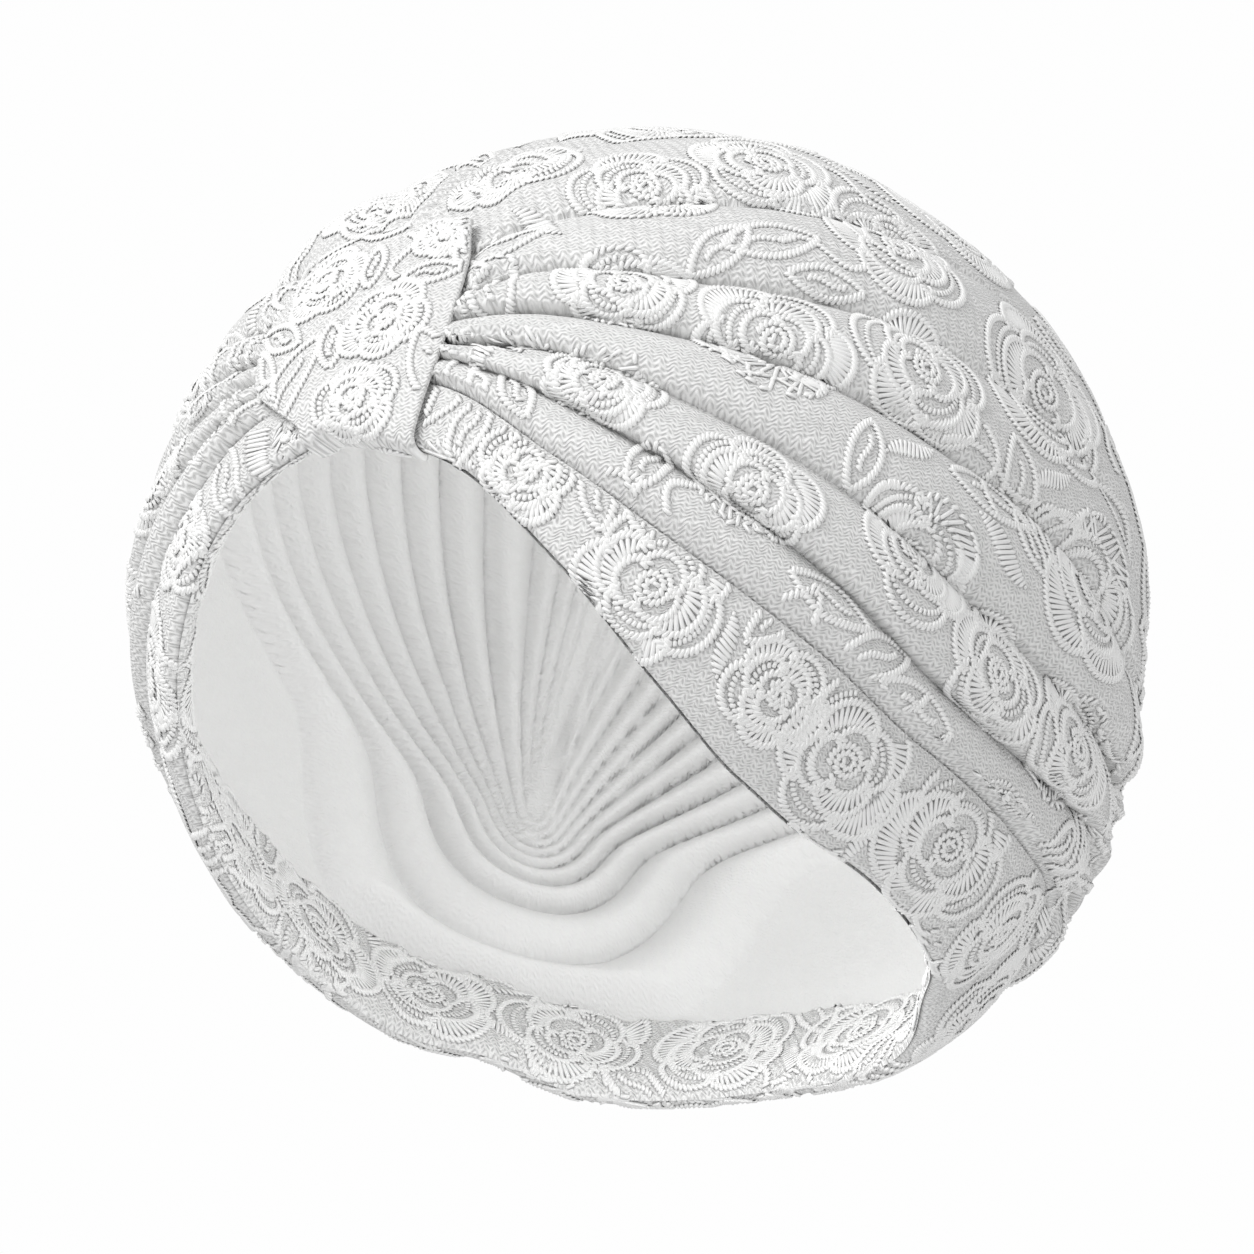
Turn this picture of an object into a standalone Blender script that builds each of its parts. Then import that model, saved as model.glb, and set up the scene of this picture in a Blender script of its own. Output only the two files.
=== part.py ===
"""A turban headwrap of corded lace over a soft knit lining, held open as it is worn.

Metres, +Z up, the forehead towards -Y and the wearer's left towards +X.
The origin is the middle of the hollow that the head fills.
Every cloth surface is placed by a direction from the origin: an azimuth, 0 at the
forehead and 180 at the nape, and an elevation, both in degrees.
"""
import bpy
import bmesh
import numpy as np

MM = 0.001

# The dome: half sizes of the smooth form that the cloth lies on
HALF_WIDTH = 104.5 * MM
FRONT_REACH = 115.5 * MM
BACK_REACH = 97.5 * MM
CROWN_HEIGHT = 118 * MM
DOME_DEPTH = 99 * MM
FULLNESS = 2.23             # 2 is an ellipsoid, more is fuller
SPREAD = 0.36               # share of width gained for each metre up and back

# The rim, the top edge of the brim band and the line over the middle of the crown
RIM = [  # azimuth, elevation
    (0, -8.6), (15, -12.2), (30, -21.1), (45, -31.0), (60, -37.7), (75, -40.1),
    (90, -39.8), (120, -39.8), (150, -40.4), (180, -39.5)]
BAND_TOP = [  # azimuth, elevation
    (0, -3.0), (12, -4.5), (28, -11.0), (44, -17.0), (62, -21.5), (81, -24.5),
    (103, -24.0), (128, -21.0), (150, -22.0), (180, -22.0)]
CREST = [  # azimuth of the strand's foot, angle of its end over the crown
    (0, 14), (12, 20), (30, 48), (60, 72), (90, 85), (128, 98), (180, 125)]

# The rolls of the crown cloth run from the knot to the gathers and on round the back.
# Each has its place as a share of the way from the band to the crest, and its height.
STATIONS = (12, 45, 90, 128, 180)       # azimuths of knot, temple, side, gather, back
ROLLS = [  # name, share at each station, height in mm at each station
    ("brim_roll", (0.09, 0.055, 0.025, 0.050, 0.060), (3.2, 4.2, 4.6, 4.2, 1.5)),
    ("lower_roll", (0.19, 0.145, 0.095, 0.120, 0.150), (3.2, 4.6, 4.4, 4.8, 2.0)),
    ("middle_roll", (0.27, 0.250, 0.220, 0.180, 0.250), (3.0, 3.5, 2.4, 4.4, 2.0)),
    ("upper_roll", (0.36, 0.335, 0.360, 0.240, 0.360), (2.2, 3.0, 1.2, 2.8, 1.5)),
    ("top_roll", (0.46, 0.440, 0.500, 0.310, 0.500), (1.4, 3.2, 0.8, 2.0, 1.2)),
    ("crown_roll", (0.62, 0.610, 0.660, 0.520, 0.660), (1.6, 2.6, 1.0, 1.0, 0.6))]
ROLL_SHARPNESS = 0.75       # below 1 the valleys are narrower than the rolls

# The gathers: a short seam behind each ear that draws all the rolls together
GATHER_AZIMUTH = 128.0
GATHER_TOP = 10.0           # elevation of its upper end
GATHER_CHANNEL = 1.0 * MM   # depth of the flat channel that the tuft lies in
GATHER_PULL = 4.0 * MM      # how far it draws the whole wall in
GATHER_REACH = 11.0         # degrees of azimuth
TUFT_LEVELS = (0.25, 4.3)   # where it starts and ends, in rolls of the crown
TUFT_LOBES = 5
TUFT_VALLEY = 0.25          # height left between two lobes, as a share
TUFT_HALF_WIDTH = 4.6       # degrees of azimuth
TUFT_HEIGHT = 5.2 * MM
TUFT_SLOPE = 0.7            # share of its height lost at its long edges
TUFT_LIFT = 1.0 * MM        # clearance over the crown
TUFT_HEM = 0.8 * MM         # thickness at its edge

# Cloth thicknesses, and each layer's outer face as a distance from the dome
CROWN_WALL = 1.4 * MM
LINING_WALL = 1.0 * MM
LINING_FACE = -3.0 * MM
FACING_OUTER = -4.9 * MM
FACING_INNER = -6.1 * MM
KNOT_WALL = 2.0 * MM
LAYER_GAP = 0.6 * MM

# The brim band, a folded strip: its section as a share of its height, a further
# height in mm, and a distance out from the dome in mm
BAND_SECTION = [  # share, height, out
    (1.00, 0.0, -0.5), (0.93, 0.0, 0.3), (0.50, 0.0, 1.0), (0.12, 0.0, 0.6),
    (0.00, 0.0, -0.6), (0.00, -1.2, -2.6), (0.00, -0.6, -4.9), (0.00, 1.4, -6.1),
    (0.00, 3.2, -6.1), (0.00, 3.2, -4.9), (0.00, 1.6, -3.2), (0.10, 1.0, -1.8),
    (0.50, 0.0, -1.0), (1.00, 0.0, -1.8)]
FACING_FOOT = 3.6 * MM      # where the facing starts above the rim
FACING_TOP = [  # azimuth, elevation
    (0, -4.5), (15, -7.0), (30, -13.0), (60, -21.0), (90, -22.0), (128, -22.0), (180, -20.5)]
LINING_FOOT = 4.6 * MM

# The pleats of the lining nest in the shape of a U under each gather
PLEAT_FOCUS = 8.0           # elevation of the innermost pleat
PLEAT_FIRST = 2.7           # degrees from the focus to the first valley
PLEAT_GROWTH = 1.42         # each pleat's width against the one inside it
PLEAT_SPREAD = 0.00265      # how fast the arms open upwards
PLEAT_DROP = 0.75           # how deep a U hangs against its half width
PLEAT_HEIGHT = 4.2 * MM

# The front knot: a strip wrapped over the gathered front and the rim
KNOT_SIDES = [  # elevation, left azimuth, right azimuth
    (-14, -4.0, 11.5), (-9, -4.5, 12.0), (-4, -10.0, 12.6), (3, -14.0, 13.0),
    (11, -13.0, 12.5), (20, -10.0, 9.5)]
KNOT_PATH = [  # elevation, distance out in mm, and 1 where the elevation is from the rim
    (20.0, 1.5, 0), (19.0, 2.8, 0), (16.5, 3.5, 0), (12.0, 3.7, 0), (6.0, 3.9, 0),
    (0.0, 3.9, 0), (-5.0, 3.7, 0), (0.3, 3.5, 1), (-1.3, 1.6, 1), (-2.0, -2.4, 1),
    (-1.7, -5.8, 1), (-0.4, -8.2, 1), (2.4, -8.6, 1), (5.0, -8.6, 1)]
KNOT_RIM = -9.0             # elevation of the rim at the knot
KNOT_BULGE = 0.9 * MM       # how much fuller its middle stands than its sides
NECK_SINK = 0.6 * MM        # how far the knot draws the crown in under itself
NECK_AZIMUTH = 14.5
NECK_TOP = 21.0

# How finely the surfaces are cut
AZIMUTH_STEPS = 16          # band and facing, on each side
CROWN_FACES = 2100          # triangles of one face of the crown
LINING_FACES = 1900

WHITE_LACE = (0.90, 0.90, 0.895, 1.0)
WHITE_KNIT = (0.93, 0.93, 0.925, 1.0)


def curve(x, rows):
    """Smooth curve through the rows of a two-column table, with no overshoot."""
    table = np.array(rows, float)
    xs, ys = table[:, 0], table[:, 1]
    step = np.diff(xs)
    rise = np.diff(ys) / step
    slope = np.concatenate([[rise[0]], np.zeros(len(xs) - 2), [rise[-1]]])
    for i in range(1, len(xs) - 1):
        if rise[i - 1] * rise[i] > 0:
            before = 2 * step[i] + step[i - 1]
            after = step[i] + 2 * step[i - 1]
            slope[i] = (before + after) / (before / rise[i - 1] + after / rise[i])
    x = np.clip(x, xs[0], xs[-1])
    k = np.clip(np.searchsorted(xs, x, side="right") - 1, 0, len(xs) - 2)
    s = (x - xs[k]) / step[k]
    return (ys[k] * (1 + 2 * s) * (1 - s) ** 2 + step[k] * slope[k] * s * (1 - s) ** 2
            + ys[k + 1] * s * s * (3 - 2 * s) + step[k] * slope[k + 1] * s * s * (s - 1))


def ease(x, low, high):
    """0 below low, 1 above high, and smooth between."""
    s = np.clip((x - low) / (high - low), 0, 1)
    return s * s * (3 - 2 * s)


def direction(azimuth, elevation):
    """Unit vector from the origin, from angles in degrees."""
    a, e = np.radians(azimuth), np.radians(elevation)
    return np.stack([np.sin(a) * np.cos(e), -np.cos(a) * np.cos(e), np.sin(e) + 0 * a], -1)


def angles(d):
    """Azimuth, without its sign, and elevation of unit vectors, in degrees."""
    azimuth = np.degrees(np.arctan2(np.abs(d[..., 0]), -d[..., 1]))
    return azimuth, np.degrees(np.arcsin(np.clip(d[..., 2], -1, 1)))


def on_dome(d, out):
    """Point in direction d, at a distance out from the smooth dome."""
    azimuth, elevation = angles(d)
    reach = np.where(d[..., 1] < 0, FRONT_REACH, BACK_REACH)
    height = np.where(d[..., 2] > 0, CROWN_HEIGHT, DOME_DEPTH)
    radius = ((np.abs(d[..., 0]) / HALF_WIDTH) ** FULLNESS
              + (np.abs(d[..., 1]) / reach) ** FULLNESS
              + (np.abs(d[..., 2]) / height) ** FULLNESS) ** (-1 / FULLNESS)
    near = np.exp(-((azimuth - GATHER_AZIMUTH) / GATHER_REACH) ** 2)
    pull = GATHER_PULL * near * (1 - ease(elevation, GATHER_TOP - 5, GATHER_TOP + 25))
    point = d * (radius - pull + out)[..., None]
    wider = 1 + SPREAD * (point[..., 2] + point[..., 1])
    return point * np.stack([wider, np.ones_like(wider), np.ones_like(wider)], -1)


def degrees_of(length):
    """Angle at the origin of a length on the dome."""
    return np.degrees(length / HALF_WIDTH)


def strand(azimuth, share):
    """Direction a share of the way from the band's top edge to the crest."""
    foot = direction(azimuth, curve(azimuth, BAND_TOP) + degrees_of(LAYER_GAP))
    over = np.radians(curve(azimuth, CREST))
    crest = np.stack([0 * over, -np.cos(over), np.sin(over)], -1)
    turn = np.arccos(np.clip((foot * crest).sum(-1), -1, 1))
    return ((np.sin((1 - share) * turn) / np.sin(turn))[..., None] * foot
            + (np.sin(share * turn) / np.sin(turn))[..., None] * crest)


def at_stations(values, azimuth):
    """A row of station values, read at any azimuth."""
    return curve(azimuth, list(zip(STATIONS, values)))


def roll_share(level, azimuth):
    """Share of the way to the crest; level counts the rolls, 0.5 on the first one's ridge."""
    ridges = [at_stations(shares, azimuth) for _, shares, _ in ROLLS]
    marks = [0.0] + [i + 0.5 for i in range(len(ROLLS))] + [len(ROLLS) + 1.0]
    heights = np.stack([0 * azimuth] + ridges + [0 * azimuth + 1.0], -1)
    out = np.empty_like(azimuth)
    for i in np.ndindex(azimuth.shape):
        out[i] = curve(level[i], list(zip(marks, heights[i])))
    return out


def neck(azimuth, elevation):
    """1 where the knot draws the cloth in, 0 away from it."""
    beside = 1 - ease(azimuth, NECK_AZIMUTH, NECK_AZIMUTH + 5)
    return beside * (1 - ease(elevation, NECK_TOP, NECK_TOP + 7))


def channel(azimuth, elevation):
    """1 in the channel along a gather, 0 away from it."""
    beside = 1 - ease(np.abs(azimuth - GATHER_AZIMUTH), TUFT_HALF_WIDTH + 1, TUFT_HALF_WIDTH + 5)
    return beside * (1 - ease(elevation, GATHER_TOP, GATHER_TOP + 8))


def above_band(azimuth, elevation):
    """0 at the band's top edge, 1 a little way above it."""
    return ease(elevation - curve(azimuth, BAND_TOP), 0, 7)


def roll_relief(level, foot, azimuth, elevation):
    """Height of the crown's rolls over the dome; foot is the strand's own azimuth."""
    number = np.clip(np.floor(level), 0, len(ROLLS) - 1).astype(int)
    heights = np.stack([at_stations(h, foot) for _, _, h in ROLLS], -1)
    height = np.take_along_axis(heights, number[..., None], -1)[..., 0] * MM
    across = np.clip(level - number, 0, 1)
    shape = np.sin(np.pi * across) ** ROLL_SHARPNESS
    flat = channel(azimuth, elevation)
    tight = neck(azimuth, elevation)
    sunk = (flat * GATHER_CHANNEL + tight * NECK_SINK) * above_band(azimuth, elevation)
    return (1 - tight) * (1 - flat) * height * shape - sunk


def crown_point(foot, level):
    """Point on the outside of the crown."""
    d = strand(foot, roll_share(level, foot))
    return on_dome(d, roll_relief(level, foot, *angles(d)))


def pleat_level(azimuth, elevation):
    """Half width, in degrees, of the U-shaped pleat through a place on the lining."""
    beside = np.abs(azimuth - GATHER_AZIMUTH) * np.cos(np.radians(elevation))
    above = elevation - PLEAT_FOCUS
    lift = PLEAT_SPREAD * np.maximum(above, 1e-4)
    arms = (np.sqrt(1 + 4 * lift * beside) - 1) / (2 * lift)
    bottom = np.hypot(beside, np.minimum(above, 0) / PLEAT_DROP)
    return np.where(above > 0, arms, bottom)


def pleat_relief(azimuth, elevation):
    """How far the lining's pleats stand into the hollow."""
    level = pleat_level(azimuth, elevation)
    phase = np.log(np.maximum(level, 0.6) / PLEAT_FIRST) / np.log(PLEAT_GROWTH)
    wave = 0.5 - 0.5 * np.cos(2 * np.pi * phase)
    height = np.minimum(PLEAT_HEIGHT, 0.32 * level * MM)
    top = 1 - 0.75 * ease(elevation, 30, 70)
    foot = ease(elevation - curve(azimuth, FACING_TOP), 0, 6)
    front = 1 - 0.7 * (1 - ease(azimuth, 10, 60))
    return height * wave * top * foot * front


def lining_out(azimuth, elevation):
    """Distance out from the dome of the lining's outer face."""
    seam = GATHER_CHANNEL * (1 - ease(np.abs(azimuth - GATHER_AZIMUTH), 9, 16))
    room = seam * ease(elevation - curve(azimuth, FACING_TOP), 0.5, 5)
    return LINING_FACE - room - pleat_relief(azimuth, elevation)


def material(name, color, roughness):
    """Plain cloth finish."""
    cloth = bpy.data.materials.new(name)
    cloth.use_nodes = True
    shader = cloth.node_tree.nodes["Principled BSDF"]
    shader.inputs["Base Color"].default_value = color
    shader.inputs["Roughness"].default_value = roughness
    shader.inputs["Metallic"].default_value = 0.0
    cloth.diffuse_color = color
    return cloth


def place(name, mesh, finish):
    """Make the named object of a mesh."""
    piece = bpy.data.objects.new(name, mesh)
    bpy.context.scene.collection.objects.link(piece)
    mesh.materials.append(finish)
    mesh.shade_smooth()
    mesh.set_sharp_from_angle(angle=np.radians(50))
    return piece


def closed_mesh(name, points, faces):
    """Mesh of one closed body, its faces turned outwards."""
    mesh = bpy.data.meshes.new(name)
    mesh.from_pydata([tuple(p) for p in points], [], faces)
    shape = bmesh.new()
    shape.from_mesh(mesh)
    bmesh.ops.recalc_face_normals(shape, faces=shape.faces[:])
    shape.to_mesh(mesh)
    shape.free()
    return mesh


def grid_faces(rows, columns):
    """Quads of a grid of points laid out row by row."""
    return [(r * columns + c, r * columns + c + 1, (r + 1) * columns + c + 1, (r + 1) * columns + c)
            for r in range(rows - 1) for c in range(columns - 1)]


def mirrored_sheet(name, points, face_count):
    """Open sheet from one side's grid and its mirror image, thinned to few triangles."""
    rows, columns = points.shape[:2]
    side = points.reshape(-1, 3)
    faces = grid_faces(rows, columns)
    other = [tuple(i + len(side) for i in reversed(face)) for face in faces]
    mesh = bpy.data.meshes.new(name)
    both = np.concatenate([side, side * (-1, 1, 1)])
    mesh.from_pydata([tuple(p) for p in both], [], faces + other)
    shape = bmesh.new()
    shape.from_mesh(mesh)
    bmesh.ops.remove_doubles(shape, verts=shape.verts[:], dist=0.02 * MM)
    bmesh.ops.triangulate(shape, faces=shape.faces[:])
    count = len(shape.faces)
    shape.to_mesh(mesh)
    shape.free()
    sheet = bpy.data.objects.new(name + "_sheet", mesh)
    bpy.context.scene.collection.objects.link(sheet)
    thin = sheet.modifiers.new("thin", "DECIMATE")
    thin.ratio = face_count / count
    bpy.context.view_layer.update()
    result = bpy.data.meshes.new_from_object(sheet.evaluated_get(bpy.context.evaluated_depsgraph_get()))
    bpy.data.objects.remove(sheet)
    return result


def walled(name, sheet, wall):
    """Closed body of a sheet and its copy a wall's thickness nearer the origin."""
    outer = np.array([v.co for v in sheet.vertices])
    inner = outer * (1 - wall / np.linalg.norm(outer, axis=1))[:, None]
    count = len(outer)
    faces = [tuple(p.vertices) for p in sheet.polygons]
    uses = {}
    for face in faces:
        for a, b in zip(face, face[1:] + face[:1]):
            key = (min(a, b), max(a, b))
            uses.setdefault(key, []).append((a, b))
    edge = [pairs[0] for pairs in uses.values() if len(pairs) == 1]
    inside = [tuple(i + count for i in reversed(face)) for face in faces]
    hem = [(b, a, a + count, b + count) for a, b in edge]
    return closed_mesh(name, np.concatenate([outer, inner]), faces + inside + hem)


def make_crown(finish):
    """Lace crown: rolls of cloth from the knot to the gathers and round the back."""
    azimuth = np.linspace(0, 180, 151)
    level = np.linspace(0, len(ROLLS) + 1, 99)
    azimuth, level = np.meshgrid(azimuth, level)
    sheet = mirrored_sheet("crown", crown_point(azimuth, level), CROWN_FACES)
    return place("crown_lace", walled("crown_lace", sheet, CROWN_WALL), finish)


def make_lining(finish):
    """Knit lining, with pleats nested under the two gathers."""
    azimuth = np.linspace(0, 180, 181)
    share = np.linspace(0, 1, 121)
    azimuth, share = np.meshgrid(azimuth, share)
    foot = direction(azimuth, curve(azimuth, RIM) + degrees_of(LINING_FOOT))
    over = np.radians(curve(azimuth, CREST))
    crest = np.stack([0 * over, -np.cos(over), np.sin(over)], -1)
    turn = np.arccos(np.clip((foot * crest).sum(-1), -1, 1))
    d = ((np.sin((1 - share) * turn) / np.sin(turn))[..., None] * foot
         + (np.sin(share * turn) / np.sin(turn))[..., None] * crest)
    points = on_dome(d, lining_out(*angles(d)))
    sheet = mirrored_sheet("lining", points, LINING_FACES)
    return place("lining_knit", walled("lining_knit", sheet, LINING_WALL), finish)


def ring_azimuths():
    """Azimuths of the stations right round the hat, without repeating the first."""
    return np.linspace(-180, 180, 4 * AZIMUTH_STEPS, endpoint=False)


def swept_ring(name, sections):
    """Closed body from sections, each a loop of points, set right round the hat."""
    stations, loop = sections.shape[:2]
    faces = []
    for s in range(stations):
        after = (s + 1) % stations
        for i in range(loop):
            j = (i + 1) % loop
            faces.append((s * loop + i, s * loop + j, after * loop + j, after * loop + i))
    return closed_mesh(name, sections.reshape(-1, 3), faces)


def make_band(finish):
    """Brim band: a flat folded strip that turns in under the rim."""
    azimuth = ring_azimuths()
    rim = curve(np.abs(azimuth), RIM)
    height = curve(np.abs(azimuth), BAND_TOP) - rim
    loops = []
    for share, up, out in BAND_SECTION:
        elevation = rim + share * height + degrees_of(up * MM)
        loops.append(on_dome(direction(azimuth, elevation), 0 * azimuth + out * MM))
    return place("brim_band", swept_ring("brim_band", np.stack(loops, 1)), finish)


def make_facing(finish):
    """Lace facing inside the rim, over the lining's edge."""
    azimuth = ring_azimuths()
    low = curve(np.abs(azimuth), RIM) + degrees_of(FACING_FOOT)
    high = curve(np.abs(azimuth), FACING_TOP)
    loops = []
    for share, out in ((0, FACING_OUTER), (0, FACING_INNER), (0.5, FACING_INNER),
                       (1, FACING_INNER), (1, FACING_OUTER), (0.5, FACING_OUTER)):
        elevation = low + share * (high - low)
        loops.append(on_dome(direction(azimuth, elevation), 0 * azimuth + out))
    return place("inner_facing", swept_ring("inner_facing", np.stack(loops, 1)), finish)


def make_knot(finish):
    """Front knot: a wide strip over the gathered front, tucked in above and under the rim."""
    across = np.linspace(0, 1, 9)
    rows = []
    for elevation, out, from_rim in KNOT_PATH:
        level = np.array([elevation + from_rim * KNOT_RIM])
        left = curve(level, [(row[0], row[1]) for row in KNOT_SIDES])
        right = curve(level, [(row[0], row[2]) for row in KNOT_SIDES])
        azimuth = left + (right - left) * across
        height = elevation + from_rim * curve(np.abs(azimuth), RIM)
        bulge = KNOT_BULGE * (1 - (2 * across - 1) ** 2) * (out > 0)
        rows.append(on_dome(direction(azimuth, height), out * MM + bulge))
    points = np.stack(rows)
    faces = [tuple(reversed(face)) for face in grid_faces(len(rows), len(across))]
    mesh = bpy.data.meshes.new("front_knot")
    mesh.from_pydata([tuple(p) for p in points.reshape(-1, 3)], [], faces)
    knot = place("front_knot", mesh, finish)
    wall = knot.modifiers.new("wall", "SOLIDIFY")
    wall.thickness = KNOT_WALL
    wall.offset = -1.0
    return knot


def make_tuft(name, sign, finish):
    """Bunched lace along one gather: a row of soft lobes over the drawn seam."""
    level = np.linspace(*TUFT_LEVELS, 3 * TUFT_LOBES + 1)
    across = np.linspace(-1, 1, 5)
    side, row = np.meshgrid(across, level)
    azimuth = GATHER_AZIMUTH + TUFT_HALF_WIDTH * side
    base = crown_point(azimuth, row)
    out = base / np.linalg.norm(base, axis=-1)[..., None]
    along = (row - level[0]) / (level[-1] - level[0])
    lobe = np.abs(np.sin(np.pi * TUFT_LOBES * along)) ** 0.8
    taper = np.sin(np.pi * np.clip(along, 0.02, 0.98)) ** 0.4
    swell = TUFT_VALLEY + (1 - TUFT_VALLEY) * lobe
    height = TUFT_HEIGHT * swell * (1 - TUFT_SLOPE * side ** 2) * taper
    under = base + out * TUFT_LIFT
    over = base + out * (TUFT_LIFT + TUFT_HEM + height)[..., None]
    points = np.concatenate([over.reshape(-1, 3), under.reshape(-1, 3)]) * (sign, 1, 1)
    rows, columns = row.shape
    top = grid_faces(rows, columns)
    count = rows * columns
    bottom = [tuple(i + count for i in reversed(face)) for face in top]
    border = ([c for c in range(columns)] + [r * columns + columns - 1 for r in range(1, rows)]
              + [(rows - 1) * columns + c for c in range(columns - 2, -1, -1)]
              + [r * columns for r in range(rows - 2, 0, -1)])
    hem = [(a, b, b + count, a + count) for a, b in zip(border, border[1:] + border[:1])]
    return place(name, closed_mesh(name, points, top + bottom + hem), finish)


def main():
    """Build the headwrap."""
    for old in list(bpy.data.objects):
        bpy.data.objects.remove(old)
    make_crown(material("crown_lace", WHITE_LACE, 0.85))
    make_lining(material("lining_knit", WHITE_KNIT, 0.95))
    make_band(material("brim_band", WHITE_LACE, 0.85))
    make_facing(material("inner_facing", WHITE_LACE, 0.85))
    make_knot(material("front_knot", WHITE_LACE, 0.85))
    make_tuft("gather_left", 1, material("gather_left", WHITE_LACE, 0.85))
    make_tuft("gather_right", -1, material("gather_right", WHITE_LACE, 0.85))


main()
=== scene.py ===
"""Finish of a turban headwrap: corded rose lace over a brushed knit lining.

Metres, +Z up, the forehead towards -Y and the wearer's left towards +X. Every cloth is
placed by a direction from the middle of the hollow: an azimuth, 0 at the forehead and 180
at the nape, and an elevation, both in degrees.
"""
import math

import bpy
import numpy as np
from bpy.props import FloatProperty, FloatVectorProperty, PointerProperty
from mathutils import Matrix, Vector


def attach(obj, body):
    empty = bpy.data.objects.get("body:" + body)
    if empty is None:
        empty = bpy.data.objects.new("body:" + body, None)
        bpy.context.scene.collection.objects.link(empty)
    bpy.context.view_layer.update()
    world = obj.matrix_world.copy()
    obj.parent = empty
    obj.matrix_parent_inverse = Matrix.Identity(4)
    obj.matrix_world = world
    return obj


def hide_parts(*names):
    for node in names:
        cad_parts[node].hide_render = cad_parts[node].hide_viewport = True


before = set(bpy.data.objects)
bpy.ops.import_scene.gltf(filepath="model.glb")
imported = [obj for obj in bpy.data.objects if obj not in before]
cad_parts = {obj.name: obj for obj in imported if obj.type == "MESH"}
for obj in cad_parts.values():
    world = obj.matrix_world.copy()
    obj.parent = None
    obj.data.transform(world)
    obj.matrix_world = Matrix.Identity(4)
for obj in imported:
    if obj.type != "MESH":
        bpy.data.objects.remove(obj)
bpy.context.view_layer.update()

bl_info = {
    "name": "Lace turban headwrap",
    "version": (1, 0, 0),
    "blender": (4, 5, 0),
    "location": "View3D > Sidebar > Headwrap",
    "description": "Folded lace crown, brim band, knot, gathers and pleated knit lining",
    "category": "Add Mesh",
}

MM = 0.001

# The smooth dome that the cloth lies on
HALF_WIDTH = 104.5 * MM
FRONT_REACH = 115.5 * MM
BACK_REACH = 97.5 * MM
CROWN_HEIGHT = 118 * MM
DOME_DEPTH = 99 * MM
FULLNESS = 2.23             # 2 is an ellipsoid, more is fuller
SPREAD = 0.36               # share of width gained for each metre up and back

# The rim, the top edge of the brim band and the line over the middle of the crown
RIM = [  # azimuth, elevation
    (0, -6.4), (15, -10.9), (30, -20.8), (45, -31.0), (60, -37.7), (75, -40.1),
    (90, -39.8), (120, -39.8), (150, -40.4), (180, -39.5)]
BAND_TOP = [  # azimuth, elevation
    (0, -1.2), (12, -2.9), (28, -10.6), (44, -17.0), (62, -21.5), (81, -24.5),
    (103, -24.0), (128, -21.0), (150, -22.0), (180, -22.0)]
CREST = [  # azimuth of the strand's foot, angle of its end over the crown
    (0, 14), (12, 20), (30, 48), (60, 72), (90, 85), (128, 98), (180, 125)]

# The rolls of the crown cloth run from the knot to the gathers and on round the back
STATIONS = (12, 45, 90, 128, 180)       # azimuths of knot, temple, side, gather, back
ROLLS = [  # name, share at each station, height in mm at each station
    ("brim_roll", (0.09, 0.055, 0.025, 0.050, 0.060), (4.2, 5.0, 5.4, 5.0, 1.8)),
    ("lower_roll", (0.19, 0.145, 0.095, 0.120, 0.150), (4.6, 6.0, 5.8, 6.0, 2.4)),
    ("middle_roll", (0.27, 0.250, 0.220, 0.180, 0.250), (4.6, 5.2, 5.0, 6.8, 2.4)),
    ("upper_roll", (0.36, 0.335, 0.360, 0.240, 0.360), (4.2, 4.5, 3.2, 4.8, 2.0)),
    ("top_roll", (0.46, 0.440, 0.500, 0.310, 0.500), (3.0, 3.4, 1.3, 2.6, 1.3)),
    ("crown_roll", (0.62, 0.610, 0.660, 0.520, 0.660), (2.0, 2.0, 0.9, 1.0, 0.6))]
ROLL_SHARPNESS = 0.55       # below 1 the valleys are narrower than the rolls
VALLEY_SINK = 1.9 * MM      # how far the valleys go under the dome, beside a full roll
FULL_ROLL = 2.6 * MM
ROLL_LEAN = 0.85            # below 1 each roll's ridge is nearer its lower valley
OVERHANG = 0.62             # how far a ridge hangs down over its lower valley, for its height
VALLEY_ROWS = 0.55          # how much closer the rows of points are in the valleys
CREST_ROLLS = 2             # low rolls on each side over the front of the crown
CREST_ROLL_HEIGHT = 1.6 * MM
CREST_ROLL_FADE = (22, 75)  # azimuths between which they die away
WRINKLE = 0.65 * MM         # height of the small folds beside the knot and the gathers
KNOT_FOLDS = (14, 17)       # azimuth of the small folds beside the knot, and their reach
GATHER_FOLD_REACH = 13
DRAPE = 0.5 * MM            # height of the slow unevenness of the whole cloth
TUCK_DEPTH = 2.2 * MM       # how far in the crown's lower edge goes behind the band

# The gathers: a short seam behind each ear that draws all the rolls together
GATHER_AZIMUTH = 128.0
GATHER_TOP = 10.0
GATHER_CHANNEL = 1.0 * MM
GATHER_PULL = 4.0 * MM
GATHER_REACH = 11.0
TUFT_LEVELS = (0.25, 4.3)
TUFT_LOBES = 5
TUFT_VALLEY = 0.2
TUFT_HALF_WIDTH = 4.6
TUFT_HEIGHT = 7.0 * MM
TUFT_SLOPE = 0.7
TUFT_LIFT = 1.0 * MM
TUFT_PUCKERS = 2.5          # puckers on each lobe
TUFT_PUCKER_HEIGHT = 0.5 * MM
TUFT_CORD_REACH = 9         # half the length, in mm, of the cords across a gather
TUFT_CORD_LEVELS = (-17, 7, 14)         # lowest and highest elevation, and number of cords

# Each inner layer's face as a distance from the dome
LINING_FACE = -4.2 * MM
FACING_OUTER = -5.5 * MM
FACING_INNER = -6.5 * MM

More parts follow.
